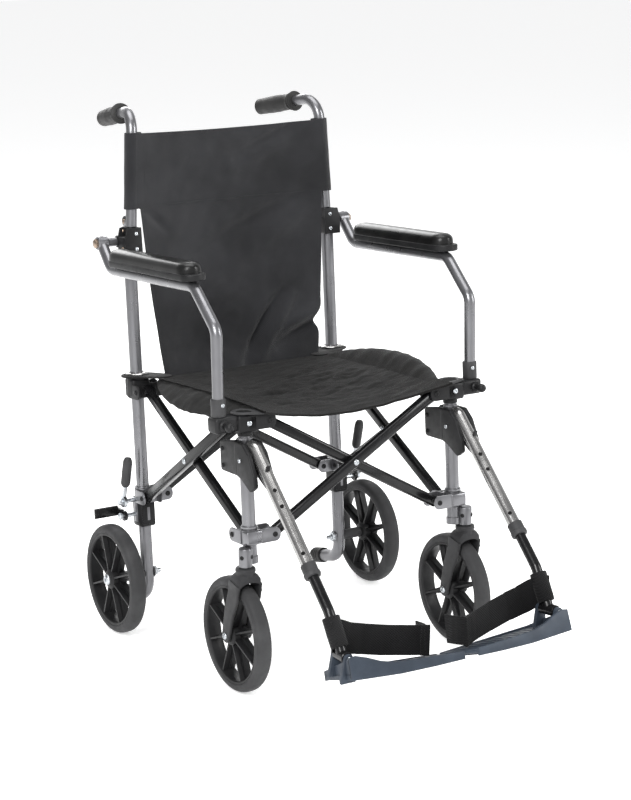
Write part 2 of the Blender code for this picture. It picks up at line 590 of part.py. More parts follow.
# ---------------------------------------------------------------- parking brakes
for side, s in SIDES:
    bx = s * BRAKE_X
    pivot = Vector((bx, REAR_Y, BRAKE_PIVOT_Z))
    tip = pivot + Vector((0, -0.026, 0.080))
    lean = (tip - pivot).normalized()
    piece(f"brake_lever_{side}", BLACK,
          [rod((bx - 0.0030, REAR_Y, BRAKE_PIVOT_Z), (bx + 0.0030, REAR_Y, BRAKE_PIVOT_Z),
               0.0105),
           rod(pivot + lean * 0.006, pivot + lean * 0.034, 0.0029, 12),
           turned([(0, 0.056), (0.0060, 0.055), (0.0080, 0.051), (0.0080, 0.004),
                   (0.0066, 0), (0, 0)], pivot + lean * 0.031, lean)],
          [rod((bx - 0.01, REAR_Y, BRAKE_PIVOT_Z), (bx + 0.01, REAR_Y, BRAKE_PIVOT_Z),
               0.0043, 12)],
          origin=pivot)
    shoe_y, shoe_z = REAR_Y + 0.026, SHOE_PIVOT_Z + 0.002
    piece(f"brake_shoe_{side}", BLACK,
          [rod((bx - 0.0030, REAR_Y, SHOE_PIVOT_Z), (bx + 0.0030, REAR_Y, SHOE_PIVOT_Z),
               0.0088),
           block((bx - 0.0030, bx + 0.0030), (REAR_Y + 0.006, shoe_y + 0.004),
                 (shoe_z - 0.0050, shoe_z + 0.0050)),
           block((bx - s * 0.0030, s * 0.2840), (shoe_y - 0.0060, shoe_y + 0.0060),
                 (shoe_z - 0.0050, shoe_z + 0.0050), bevel=0.001)],
          [rod((bx - 0.01, REAR_Y, SHOE_PIVOT_Z), (bx + 0.01, REAR_Y, SHOE_PIVOT_Z),
               0.0043, 12)],
          origin=(bx, REAR_Y, SHOE_PIVOT_Z))

# ---------------------------------------------------------------- sling seat and back
SEAT_HALF, SEAT_EDGE, SEAT_SAG = 0.1810, 0.4830, 0.0270


def seat_point(u, v):
    across = 2 * u - 1
    droop = SEAT_SAG * (1 - across * across)
    return (across * SEAT_HALF, -0.008 + 0.358 * v, SEAT_EDGE - droop)


piece("seat_sling", FABRIC, [sheet(10, 3, seat_point, (0, 0, -0.0030))],
      origin=(-CROSS_X, REAR_Y, PIVOT_TOP))

BACK_LOW, BACK_TOP, SLEEVE_LOW = 0.4790, 0.9050, 0.7780


def tube_at(z):
    t = (z - BACK_START) / (BEND.z - BACK_START)
    return BACK_X + (BEND.x - BACK_X) * t, BACK_Y + (BEND.y - BACK_Y) * t


def back_point(u, v):
    z = BACK_LOW + (BACK_TOP - BACK_LOW) * v
    across = 2 * u - 1
    if z >= SLEEVE_LOW:
        half = tube_at(z)[0]
    else:
        half = 0.150 + 0.030 * (z - BACK_LOW) / (SLEEVE_LOW - BACK_LOW)
    return (across * half, tube_at(z)[1] - 0.0095 + 0.020 * (1 - across * across), z)


def sleeve(s, radius, low, high):
    ends = [Vector((s * tube_at(z)[0], tube_at(z)[1], z)) for z in (low, high)]
    return rod(*ends, radius)


piece("back_sling", FABRIC,
      [sheet(8, 8, back_point, (0, 0.0030, 0)),
       *[sleeve(s, 0.0122, SLEEVE_LOW, BACK_TOP) for _, s in SIDES]],
      [sleeve(s, BACK_R + GAP, SLEEVE_LOW - 0.02, BACK_TOP + 0.02) for _, s in SIDES])

bpy.data.collections.remove(bench)
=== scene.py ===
"""Looks of the folding transport wheelchair: every visible surface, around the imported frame.

The frame's axes are upright (x across, y rearward from the front legs, z up) and the
matrix LEAN tips them back onto the wheels, as in the solids. Lengths are in metres.
"""
import math

import bmesh
import bpy
from mathutils import Matrix, Vector, noise


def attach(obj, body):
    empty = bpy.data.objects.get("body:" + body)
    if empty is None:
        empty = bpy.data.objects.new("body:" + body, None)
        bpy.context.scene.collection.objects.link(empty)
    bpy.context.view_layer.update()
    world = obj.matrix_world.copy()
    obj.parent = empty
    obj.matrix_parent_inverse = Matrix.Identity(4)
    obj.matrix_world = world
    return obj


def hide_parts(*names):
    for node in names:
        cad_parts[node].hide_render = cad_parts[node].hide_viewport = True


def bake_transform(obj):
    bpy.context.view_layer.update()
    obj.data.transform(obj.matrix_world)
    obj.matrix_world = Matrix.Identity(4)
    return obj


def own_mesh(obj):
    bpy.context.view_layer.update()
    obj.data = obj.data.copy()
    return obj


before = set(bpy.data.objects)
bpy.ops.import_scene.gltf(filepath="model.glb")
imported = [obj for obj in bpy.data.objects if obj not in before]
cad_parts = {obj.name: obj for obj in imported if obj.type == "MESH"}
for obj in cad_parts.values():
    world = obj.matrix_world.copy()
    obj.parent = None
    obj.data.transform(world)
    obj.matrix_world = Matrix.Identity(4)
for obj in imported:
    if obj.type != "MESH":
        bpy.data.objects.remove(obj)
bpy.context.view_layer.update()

# ---------------------------------------------------------------- sizes shared with the solids
RAKE = math.radians(4.4)
FRAME_SHIFT, FRAME_LIFT = -0.1338, -0.0051
LEAN = Matrix.Translation((0, FRAME_SHIFT, FRAME_LIFT)) @ Matrix.Rotation(-RAKE, 4, "X")
UPRIGHT = LEAN.inverted()
LEVEL = Matrix.Identity(4)
SIDES = (("right", -1), ("left", 1))

WHEEL_R = 0.0965
LEG_X, REAR_Y = 0.200, 0.378
LEG_R, LEG_LOW, LEG_TOP = 0.0111, 0.2277, 0.436
POST_TOP = 0.724
PIVOT_LOW, PIVOT_TOP = 0.272, 0.460
SPAN = 0.323
CROSS_X, SIDE_FRONT = SPAN / 2, 0.0275
SIDE_REAR = SIDE_FRONT + SPAN
BAR_HALF = 0.009
OUTER, INNER = (-0.0012, 0.0138), (-0.0165, -0.0015)

HINGE_Y, HINGE_Z = 0.3905, 0.738
BACK_X, BACK_Y, BACK_R, BACK_START = 0.196, 0.374, 0.0095, 0.7458
BEND = Vector((0.186, 0.368, 0.944))
HANDLE_END = Vector((0.160, 0.528, 0.924))
GRIP_LENGTH = 0.106

ARM_X, ARM_Y, ARM_Z, ARM_R = 0.2440, 0.394, 0.720, 0.0095
PAD_X, PAD_Y = (0.223, 0.267), (0.046, 0.342)
LUG_TOP = 0.474

HANGER_TOP = Vector((0.198, -0.028, 0.424))
HANGER_END = Vector((0.198, -0.293, 0.136))
FOOT_PIVOT = Vector((0.197, -0.268, 0.1365))
EXTENSION_BEND = 0.305
HANGER_R, HANGER_LENGTH = 0.0105, 0.240
EXTENSION_R, EXTENSION_START = 0.0088, 0.145
PLATE_TILT, PLATE_DROOP, PLATE_YAW = math.radians(16.0), math.radians(0.5), math.radians(6)
HOUSING_LOW, HOUSING_TOP = 0.3755, 0.4280

STEM_X, STEM_Y, TRAIL = 0.216, -0.127, 0.030
REAR_WHEEL_X = 0.262
BRAKE_X, BRAKE_PIVOT_Z, SHOE_PIVOT_Z = 0.2385, 0.266, 0.240
AXLE_Z = (WHEEL_R - FRAME_LIFT + REAR_Y * math.sin(RAKE)) / math.cos(RAKE)

SEAT_HALF, SEAT_EDGE, SEAT_SAG = 0.1810, 0.4830, 0.0270
BACK_LOW, BACK_TOP, SLEEVE_LOW = 0.4730, 0.9050, 0.7780


def material(name, slot, color, metallic=0.0, roughness=0.5, **sockets):
    """A Principled material with constant sockets; the slot argument is not used."""
    mat = bpy.data.materials.new(name)
    mat.use_nodes = True
    shader = mat.node_tree.nodes["Principled BSDF"]
    shader.inputs["Base Color"].default_value = (*color, 1)
    shader.inputs["Metallic"].default_value = metallic
    shader.inputs["Roughness"].default_value = roughness
    for socket, value in sockets.items():
        shader.inputs[socket.replace("_", " ")].default_value = value
    return mat


def add_node(mat, kind, inputs, **settings):
    made = mat.node_tree.nodes.new("ShaderNode" + kind)
    for key, value in settings.items():
        setattr(made, key, value)
    for socket, value in inputs.items():
        if isinstance(value, bpy.types.NodeSocket):
            mat.node_tree.links.new(value, made.inputs[socket])
        else:
            made.inputs[socket].default_value = value
    return made


def place(mat, stretch=(1, 1, 1)):
    """Object coordinates in metres, stretched per axis."""
    spot = add_node(mat, "TexCoord", {}).outputs["Object"]
    return add_node(mat, "Mapping", {"Vector": spot, "Scale": stretch}).outputs["Vector"]


def speckle(mat, scale, detail=3.0, stretch=(1, 1, 1)):
    return add_node(mat, "TexNoise", {"Vector": place(mat, stretch), "Scale": scale,
                                      "Detail": detail}).outputs["Fac"]


def between(mat, factor, low, high, start=0.3, end=0.7):
    """Factor mapped from start..end onto low..high."""
    return add_node(mat, "MapRange", {"Value": factor, "From Min": start, "From Max": end,
                                      "To Min": low, "To Max": high}).outputs["Result"]


def feed(mat, socket, value):
    mat.node_tree.links.new(value, mat.node_tree.nodes["Principled BSDF"].inputs[socket])


def tint(mat, factor, dark, light):
    mixed = add_node(mat, "Mix", {0: factor, 6: (*dark, 1), 7: (*light, 1)}, data_type="RGBA")
    feed(mat, "Base Color", mixed.outputs[2])


def relief(mat, height, depth, strength=1.0, under=None):
    """Bump of the given depth in metres, over an earlier bump when there is one."""
    inputs = {"Height": height, "Distance": depth, "Strength": strength}
    if under is not None:
        inputs["Normal"] = under
    bump = add_node(mat, "Bump", inputs).outputs["Normal"]
    feed(mat, "Normal", bump)
    return bump


def painted(name, slot, color, metallic, roughness, spread=0.12, **sockets):
    """Metal or paint: soft colour drift, uneven gloss, fine surface grain."""
    mat = material(name, slot, color, metallic, roughness, **sockets)
    drift = between(mat, speckle(mat, 14), 0, 1)
    dark = [c * (1 - spread) for c in color]
    light = [min(1, c * (1 + spread)) for c in color]
    tint(mat, drift, dark, light)
    smudge = speckle(mat, 60, 5, (1, 1, 0.35))
    feed(mat, "Roughness", between(mat, smudge, roughness * 0.82, roughness * 1.25))
    relief(mat, speckle(mat, 900, 2), 0.00004, 0.6)
    return mat


def moulded(name, slot, color, roughness, grain, depth, **sockets):
    """Plastic or rubber with a moulded grain and rubbed, lighter patches."""
    sockets.setdefault("Specular_IOR_Level", 0.16)
    mat = material(name, slot, color, 0.0, roughness, **sockets)
    rub = between(mat, speckle(mat, 22, 5), 0, 1, 0.42, 0.75)
    tint(mat, rub, color, [c * 1.45 + 0.004 for c in color])
    feed(mat, "Roughness", between(mat, speckle(mat, 90, 4), roughness * 0.85,
                                   min(1, roughness * 1.15)))
    cells = add_node(mat, "TexVoronoi", {"Vector": place(mat), "Scale": grain})
    relief(mat, cells.outputs["Distance"], depth, 0.7)
    return mat


def woven(name, color, light, across, along, pitch, depth, sheen=0.25):
    """Plain nylon weave in the plane of two axes, threads one pitch apart, with a twill drift."""
    mat = material(name, "nylon_fabric", color, 0.0, 0.78, Sheen_Weight=sheen,
                   Sheen_Roughness=0.45, Specular_IOR_Level=0.10)
    spot = add_node(mat, "SeparateXYZ", {"Vector": place(mat)})
    threads = []
    for axis, shift in ((across, 0.0), (along, 0.5)):
        turns = add_node(mat, "Math", {0: spot.outputs[axis], 1: 2 * math.pi / pitch},
                         operation="MULTIPLY").outputs[0]
        turns = add_node(mat, "Math", {0: turns, 1: shift * math.pi}, operation="ADD").outputs[0]
        wave = add_node(mat, "Math", {0: turns}, operation="SINE").outputs[0]
        threads.append(wave)
    weave = add_node(mat, "Math", {0: threads[0], 1: threads[1]}, operation="MULTIPLY").outputs[0]
    drift = speckle(mat, 30, 5)
    worn = between(mat, speckle(mat, 7, 3), 0, 1, 0.35, 0.7)
    both = add_node(mat, "Math", {0: between(mat, weave, 0, 0.55, -1, 1), 1: worn},
                    operation="ADD").outputs[0]
    tint(mat, between(mat, both, 0, 1, 0.1, 1.5), color, light)
    feed(mat, "Roughness", between(mat, drift, 0.70, 0.88))
    under = relief(mat, weave, depth, 0.8)
    relief(mat, speckle(mat, 55, 4), 0.0012, 0.25, under)
    return mat


SILVER = painted("grey_silver_paint", "silver_tube", (0.155, 0.155, 0.163), 0.80, 0.30,
                 Coat_Weight=0.2, Coat_Roughness=0.2)
BRIGHT = painted("satin_aluminium", "silver_tube", (0.36, 0.355, 0.35), 0.92, 0.22, 0.05)
ZINC = painted("bright_zinc", "zinc_steel", (0.44, 0.46, 0.48), 1.0, 0.26, 0.15)
BRASS = painted("yellow_zinc", "zinc_steel", (0.34, 0.26, 0.20), 1.0, 0.3, 0.15)
BLACK_BAR = painted("gloss_black_paint", "black_bar", (0.0055, 0.0055, 0.006), 0.0, 0.24, 0.3,
                    Coat_Weight=0.12, Coat_Roughness=0.08, Specular_IOR_Level=0.2)
BLACK = moulded("black_moulding", "black_plastic", (0.0085, 0.0085, 0.009), 0.42, 700, 0.00010)
FORK = moulded("fork_moulding", "black_plastic", (0.020, 0.020, 0.021), 0.46, 600, 0.00010)
GREY = moulded("charcoal_moulding", "black_plastic", (0.030, 0.030, 0.031), 0.5, 700, 0.00010)
GRIP = moulded("grip_rubber", "black_plastic", (0.018, 0.0178, 0.0175), 0.5, 500, 0.00014)
PADDING = moulded("pad_skin", "moulded_pad", (0.0042, 0.0042, 0.0042), 0.32, 380, 0.00005,
                  Coat_Weight=0.14, Coat_Roughness=0.22)
TYRE = moulded("tyre_rubber", "tyre_rubber", (0.030, 0.030, 0.031), 0.62, 450, 0.00012)
PLATE = moulded("blue_grey_plastic", "footplate_plastic", (0.026, 0.033, 0.044), 0.45, 600,
                0.00010)
# Near-black for hole openings in the hanger, extension tube and front patch: painted shade standing
# in for the dark inside of each hole.
HOLE_SHADE = moulded("hole_black", "black_plastic", (0.002, 0.002, 0.002), 0.8, 400, 0.00005)
# Back and seat are one nylon drawn as a lit and a shaded copy: the back copy is made lighter as
# painted light, and the seat copy is made much darker as painted shade, following how the light falls
# on each.
BACK_CLOTH_LIT = woven("nylon_back", (0.0085, 0.0086, 0.0096), (0.0270, 0.0272, 0.0300), 0, 2,
                   0.0021, 0.00040, 0.20)
# Seat copy of the nylon: darkened as painted shade.
SEAT_CLOTH_SHADED = woven("nylon_seat", (0.0026, 0.0024, 0.0023), (0.0088, 0.0083, 0.0080), 0, 1,
                   0.0019, 0.00030, 0.05)
FLAP_CLOTH = woven("nylon_flap", (0.0045, 0.0044, 0.0043), (0.0130, 0.0126, 0.0122), 1, 2,
                   0.0019, 0.0002, 0.08)
WEBBING = woven("webbing", (0.0045, 0.0045, 0.0048), (0.0150, 0.0150, 0.0155), 0, 2, 0.0042,
                0.00055, 0.06)
THREAD = moulded("thread", "nylon_fabric", (0.014, 0.014, 0.014), 0.7, 900, 0.00005)


# ---------------------------------------------------------------- shapes
def disc(radius, sides=32):
    return [(radius * math.cos(2 * math.pi * i / sides), radius * math.sin(2 * math.pi * i / sides))
            for i in range(sides)]


def rounded_box(width, height, corner, steps=4):
    """Outline of a rectangle with round corners, centred on the origin."""
    outline = []
    for sx, sy, start in ((1, 1, 0), (-1, 1, 90), (-1, -1, 180), (1, -1, 270)):
        for i in range(steps + 1):
            angle = math.radians(start + 90 * i / steps)
            outline.append((sx * (width / 2 - corner) + corner * math.cos(angle),
                            sy * (height / 2 - corner) + corner * math.sin(angle)))
    return outline


def loft(rings, closed=False):
    """Skin through rings of equally many points, capped unless the last joins the first."""
    bm = bmesh.new()
    made = [[bm.verts.new(p) for p in ring] for ring in rings]
    pairs = list(zip(made, made[1:])) + ([(made[-1], made[0])] if closed else [])
    for one, two in pairs:
        for i, corner in enumerate(one):
            after = (i + 1) % len(one)
            bm.faces.new((corner, one[after], two[after], two[i]))
    if not closed:
        bm.faces.new(made[0])
        bm.faces.new(made[-1])
    bmesh.ops.recalc_face_normals(bm, faces=bm.faces)
    return bm


def sweep(path, section, up=None, scale=None):
    """A 2D section carried along a path. up holds the section's second axis steady."""
    path = [Vector(p) for p in path]
    rings, guide = [], Vector(up) if up is not None else None
    for i, point in enumerate(path):
        tangent = (path[min(i + 1, len(path) - 1)] - path[max(i - 1, 0)]).normalized()
        if guide is None:
            guide = tangent.orthogonal()
        side = tangent.cross(guide).normalized()
        lift = side.cross(tangent).normalized()
        if up is None:
            guide = lift
        sx, sy = scale(i / (len(path) - 1)) if scale else (1, 1)
        rings.append([point + side * (a * sx) + lift * (b * sy) for a, b in section])
    return loft(rings)


def rounded(points, radius, steps=8):
    """Corner points with each inner corner replaced by an arc."""
    points = [Vector(p) for p in points]
    path = [points[0]]
    for before, corner, after in zip(points, points[1:], points[2:]):
        u, v = (before - corner).normalized(), (after - corner).normalized()
        half = u.angle(v) / 2
        centre = corner + (u + v).normalized() * (radius / math.sin(half))
        first, last = corner + u * radius / math.tan(half), corner + v * radius / math.tan(half)
        a, b = first - centre, last - centre
        turn = a.angle(b)
        for i in range(steps + 1):
            t = i / steps
            path.append(centre + (a * math.sin((1 - t) * turn) + b * math.sin(t * turn))
                        / math.sin(turn))
    return path + [points[-1]]


def tube(points, radius, bend=0.03, sides=32):
    path = rounded(points, bend) if len(points) > 2 else points
    return sweep(path, disc(radius, sides))


def lathe(profile, start, direction, steps=40):
    """(radius, along) points turned round a line; radius 0 closes an end."""
    turn = Vector((0, 0, 1)).rotation_difference(Vector(direction)).to_matrix().to_4x4()
    bm = bmesh.new()
    rings = []
    for radius, along in profile:
        count = 1 if radius == 0 else steps
        rings.append([bm.verts.new((radius * math.cos(2 * math.pi * i / steps),
                                    radius * math.sin(2 * math.pi * i / steps), along))
                      for i in range(count)])
    for one, two in zip(rings, rings[1:]):
        for i in range(steps):
            after = (i + 1) % steps
            corners = [one[i % len(one)], one[after % len(one)],
                       two[after % len(two)], two[i % len(two)]]
            unique = list(dict.fromkeys(corners))
            if len(unique) > 2:
                bm.faces.new(unique)
    bmesh.ops.recalc_face_normals(bm, faces=bm.faces)
    bm.transform(Matrix.Translation(start) @ turn)
    return bm


def ring(inner, outer, low, high, start, direction, steps=40, soft=0.0006):
    """Tubular ring with softened edges."""
    profile = [(inner, low), (outer - soft, low), (outer, low + soft), (outer, high - soft),
               (outer - soft, high), (inner, high), (inner, low)]
    return lathe(profile, start, direction, steps)


def rod(start, end, radius, soft=0.0006, steps=40):
    start, end = Vector(start), Vector(end)
    length = (end - start).length
    soft = min(soft, radius * 0.4, length * 0.4)
    return lathe([(0, 0), (radius - soft, 0), (radius, soft), (radius, length - soft),
                  (radius - soft, length), (0, length)], start, end - start, steps)


def box(xs, ys, zs, soft=0.001, segments=2):
    bm = bmesh.new()
    bmesh.ops.create_cube(bm, size=1)
    limits = [sorted(pair) for pair in (xs, ys, zs)]
    for vert in bm.verts:
        vert.co = [lo + (hi - lo) * (c + 0.5) for (lo, hi), c in zip(limits, vert.co)]
    if soft:
        bmesh.ops.bevel(bm, geom=bm.edges[:], offset=soft, segments=segments,
                        profile=0.5, affect="EDGES")
    return bm


def prism(outline, axis, low, high, soft=0.0):
    """Flat outline pushed along one axis, with its rim edges rounded."""
    at = {"x": lambda a, b, c: (c, a, b), "y": lambda a, b, c: (a, c, b),
          "z": lambda a, b, c: (a, b, c)}[axis]
    low, high = sorted((low, high))
    bm = loft([[at(a, b, low) for a, b in outline], [at(a, b, high) for a, b in outline]])
    if soft:
        bm.faces.ensure_lookup_table()
        caps = set(bm.faces[-2:])
        rim = [e for e in bm.edges if caps & set(e.link_faces)]
        bmesh.ops.bevel(bm, geom=rim, offset=soft, segments=3, profile=0.5, affect="EDGES")
    return bm


def merged(shapes):
    whole = bmesh.new()
    for shape in shapes:
        mesh = bpy.data.meshes.new("part")
        shape.to_mesh(mesh)
        shape.free()
        whole.from_mesh(mesh)
        bpy.data.meshes.remove(mesh)
    return whole


def piece(name, mat, body, shapes, stands_for=(), axes=LEAN, crisp=38):
    """One named object from shapes in frame axes, riding on a body."""
    bm = merged(shapes)
    bm.transform(axes)
    mesh = bpy.data.meshes.new(name)
    bm.to_mesh(mesh)
    bm.free()
    mesh.shade_smooth()
    mesh.set_sharp_from_angle(angle=math.radians(crisp))
    mesh.materials.append(mat)
    obj = bpy.data.objects.new(name, mesh)
    bpy.context.scene.collection.objects.link(obj)
    if body:
        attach(obj, body)
    if stands_for:
        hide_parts(*stands_for)
    return obj


fasteners = {}


def bolt(body, at, toward, radius=0.0050, height=0.0030, mat=ZINC, axes=LEAN, hexagon=False):
    """Head of a screw with a dimple, or a hexagon head; heads on one body become one piece."""
    steps = 6 if hexagon else 24
    profile = [(0, height * 0.55), (radius * 0.34, height * 0.55), (radius * 0.40, height),
               (radius * 0.72, height * 0.94), (radius * 0.93, height * 0.62),
               (radius, height * 0.2), (radius, -0.0008), (0, -0.0008)]
    if hexagon:
        profile = [(0, height), (radius * 0.9, height), (radius, height * 0.85),
                   (radius, -0.0008), (0, -0.0008)]
    head = lathe(profile, at, toward, steps)
    head.transform(axes)
    fasteners.setdefault((body, mat.name), []).append(head)


def floor_point(x, y, z):
    return UPRIGHT @ Vector((x, y, z))


# ---------------------------------------------------------------- X braces
def bar_section():
    """Flat oval tube, wide across the X plane's depth."""
    return rounded_box(OUTER[1] - OUTER[0], 2 * BAR_HALF, 0.0052, 5)


def brace(name, body, ends, depth, plane_normal):
    """Gloss black bar between two pivots in one layer, with end caps, rivets and washers."""
    normal = Vector(plane_normal)
    low, top = (Vector(p) + normal * sum(depth) / 2 for p in ends)
    along = (top - low).normalized()
    reach = BAR_HALF * 0.95
    path = [low - along * reach, low - along * (reach - 0.002), top + along * (reach - 0.002),
            top + along * reach]
    shrink = [0.86, 1, 1, 0.86]
    bar = sweep(path, bar_section(), normal.cross(along),
                lambda t: (shrink[round(t * 3)], shrink[round(t * 3)]))
    piece(name, BLACK_BAR, body, [bar], [name])
    face = (depth[1] - depth[0]) / 2
    for end in (low, top):
        for way in (1, -1):
            bolt(body, end + normal * way * face, normal * way, 0.0042, 0.0014, BLACK)
    return (low + top) / 2, face


def bar_ends(kind, sign, outer):
    """Low and top pivot of one bar, the way the four sides are numbered in the solids."""
    if kind == "side":
        low_y, top_y = (SIDE_REAR, SIDE_FRONT) if outer else (SIDE_FRONT, SIDE_REAR)
        return (sign * LEG_X, low_y, PIVOT_LOW), (sign * LEG_X, top_y, PIVOT_TOP)
    y = 0 if kind == "front" else REAR_Y
    low_x = -CROSS_X if outer else CROSS_X
    return (low_x, y, PIVOT_LOW), (-low_x, y, PIVOT_TOP)


def cross(kind, sign, prefix, normal):
    for layer, depth in (("outer", OUTER), ("inner", INNER)):
        body = f"{prefix}_x_{layer}"
        middle, face = brace(f"{prefix}_brace_{layer}", body,
                             bar_ends(kind, sign, layer == "outer"), depth, normal)
        way = 1 if layer == "outer" else -1
        bolt(body, middle + Vector(normal) * way * face, Vector(normal) * way, 0.0052, 0.0022)


cross("front", 1, "front", (0, -1, 0))
cross("rear", 1, "rear", (0, 1, 0))
for side, s in SIDES:
    cross("side", s, side, (s, 0, 0))


# ---------------------------------------------------------------- corner brackets
def ear(kind, front, sign, z, mat_bolt, body, height=0.0115):
    """Channel ear from a leg to a brace pivot, holding the bar between two cheeks."""
    if kind == "across":
        root, pivot = sign * LEG_X, sign * CROSS_X
        normal = Vector((0, -1 if front else 1, 0))
        base = Vector((0, 0 if front else REAR_Y, 0))
        axis, join = "y", lambda a: Vector((a, 0, 0))
    else:
        root, pivot = (0, SIDE_FRONT) if front else (REAR_Y, SIDE_REAR)
        normal = Vector((sign, 0, 0))
        base = Vector((sign * LEG_X, 0, 0))
        axis, join = "x", lambda a: Vector((0, a, 0))
    reach = 1 if pivot > root else -1
    tip = pivot + reach * 0.0015
    outline = [(root, z - height), (root, z + height)]
    for i in range(9):
        angle = math.radians(90 - 22.5 * i)
        outline.append((tip + reach * height * 0.8 * math.cos(angle),
                        z + height * math.sin(angle)))
    cheeks = []
    for near, far in ((0.0141, 0.0170), (-0.0196, -0.0168)):
        flat = [base.dot(abs_vector(normal)) + normal[axis_index(axis)] * d for d in (near, far)]
        cheeks.append(prism(outline, axis, *flat, soft=0.0006))
    outside = base + normal * 0.0170 + join(pivot) + Vector((0, 0, z))
    bolt(body, outside, normal, 0.0046, 0.0022, mat_bolt)
    bolt(body, outside - normal * 0.0366, -normal, 0.0046, 0.0022, mat_bolt)
    return cheeks


def abs_vector(v):
    return Vector([abs(c) for c in v])


def axis_index(axis):
    return "xyz".index(axis)


for side, s in SIDES:
    x, stem = s * LEG_X, s * STEM_X
    body = f"front_frame_{side}"
    housing_low = 2 * WHEEL_R + 0.0278
    piece(f"leg_tube_{side}", SILVER, body,
          [tube([(x, 0, LEG_LOW), (x, 0, LEG_TOP)], LEG_R),
           ring(0.0098, 0.0119, -0.0005, 0.0075, (x, 0, LEG_TOP - 0.008), (0, 0, 1)),
           ring(0.0098, 0.0127, 0, 0.012, (x, 0, LEG_LOW), (0, 0, 1))],
          [f"front_leg_{side}"])
    piece(f"leg_bracket_{side}", SILVER, body,
          [ring(0.0109, 0.0150, 0, 0.0260, (x, 0, PIVOT_LOW - 0.0135), (0, 0, 1), soft=0.0012),
           ring(0.0109, 0.0138, 0, 0.0050, (x, 0, PIVOT_LOW + 0.0130), (0, 0, 1), soft=0.0010),
           box((x - 0.0150, x + 0.0150), (-0.0190, 0.0150), (PIVOT_LOW - 0.0115, PIVOT_LOW + 0.0115),
               0.0035, 3),
           *ear("across", True, s, PIVOT_LOW, BLACK, body),
           *ear("along", True, s, PIVOT_LOW, BLACK, body)])
    low, top = (floor_point(stem, STEM_Y, housing_low + h) for h in (0, 0.0320))
    up = (top - low).normalized()
    piece(f"stem_housing_{side}", SILVER, body,
          [lathe([(0.0060, 0), (0.0100, 0), (0.0113, 0.0010), (0.0113, 0.0290), (0.0104, 0.0312),
                  (0.0080, 0.0320), (0, 0.0320)], low, up),
           box((min(x, stem), max(x, stem)), (-0.0070, 0.0070), (LEG_LOW + 0.001, LEG_LOW + 0.0270),
               0.002)])
    piece(f"stem_bearing_{side}", BLACK, body,
          [ring(0.0060, 0.0106, -0.0008, 0.0004, low, up, soft=0.0003)])
    for turn in (-60, 40):
        out = Vector((math.sin(math.radians(turn)), -math.cos(math.radians(turn)), 0))
        bolt(body, low + up * 0.017 + out * 0.0112, out, 0.0036, 0.0016, BLACK)


# ---------------------------------------------------------------- rear posts
def capped_lever(x):
    """Points of the post, down to the tipping lever's end."""
    return [(x, REAR_Y, POST_TOP), (x, REAR_Y, 0.092), (x, REAR_Y + 0.087, 0.076)]


for side, s in SIDES:
    x = s * LEG_X
    body = f"rear_frame_{side}"
    post = rounded(capped_lever(x), 0.034, 12)
    heading = (post[-1] - post[-2]).normalized()
    piece(f"post_tube_{side}", SILVER, body, [sweep(post, disc(LEG_R, 36))],
          [f"rear_post_{side}"])
    cap = [(0.0112, 0.0), (0.0138, 0.0006)]
    for i in range(4):
        along = 0.004 + 0.0065 * i
        cap += [(0.0142, along), (0.0142, along + 0.0040), (0.0131, along + 0.0048),
                (0.0131, along + 0.0058)]
    cap += [(0.0140, 0.0310), (0.0125, 0.0335), (0, 0.0340)]
    piece(f"tipping_cap_{side}", GRIP, body, [lathe(cap, post[-1] - heading * 0.0320, heading)])
    piece(f"post_collar_{side}", SILVER, body,
          [ring(0.0109, 0.0150, 0, 0.0150, (x, REAR_Y, 0.2700), (0, 0, 1), soft=0.0010),
           ring(0.0109, 0.0138, 0, 0.0040, (x, REAR_Y, 0.2845), (0, 0, 1), soft=0.0008),
           *ear("across", False, s, PIVOT_LOW, BLACK, body),
           *ear("along", False, s, PIVOT_LOW, BLACK, body)])
    piece(f"post_clamp_{side}", BLACK, body,
          [box((x - 0.0150, x + 0.0150), (REAR_Y - 0.0160, REAR_Y + 0.0160), (0.2170, 0.2700),
               0.0045, 3),
           box((x - 0.0120, x + 0.0120), (REAR_Y - 0.0180, REAR_Y - 0.0150), (0.2220, 0.2660),
               0.0015)])
    piece(f"clamp_insert_{side}", SILVER, body,
          [box((x - 0.0028, x + 0.0028), (REAR_Y - 0.0184, REAR_Y - 0.0160), (0.2290, 0.2530),
               0.0010),
           box((s * 0.2120, s * 0.2172), (REAR_Y - 0.0060, REAR_Y + 0.0060), (0.2260, 0.2620),
               0.0012)])
    hub_in, hub_out = s * (REAR_WHEEL_X - 0.0160), s * (REAR_WHEEL_X + 0.0160)
    piece(f"axle_barrel_{side}", GREY, body,
          [rod((s * 0.2060, REAR_Y, AXLE_Z), (hub_in, REAR_Y, AXLE_Z), 0.0092, 0.0012)])
    bolt(body, (s * 0.1890, REAR_Y, AXLE_Z), (-s, 0, 0), 0.0088, 0.0062, hexagon=True)
    bolt(body, (s * 0.1860, REAR_Y, AXLE_Z), (-s, 0, 0), 0.0052, 0.0120)
    piece(f"axle_washer_{side}", SILVER, body,
          [rod((s * 0.1880, REAR_Y, AXLE_Z), (s * 0.1905, REAR_Y, AXLE_Z), 0.0105)])
    bolt(body, (hub_out, REAR_Y, AXLE_Z), (s, 0, 0), 0.0098, 0.0052)


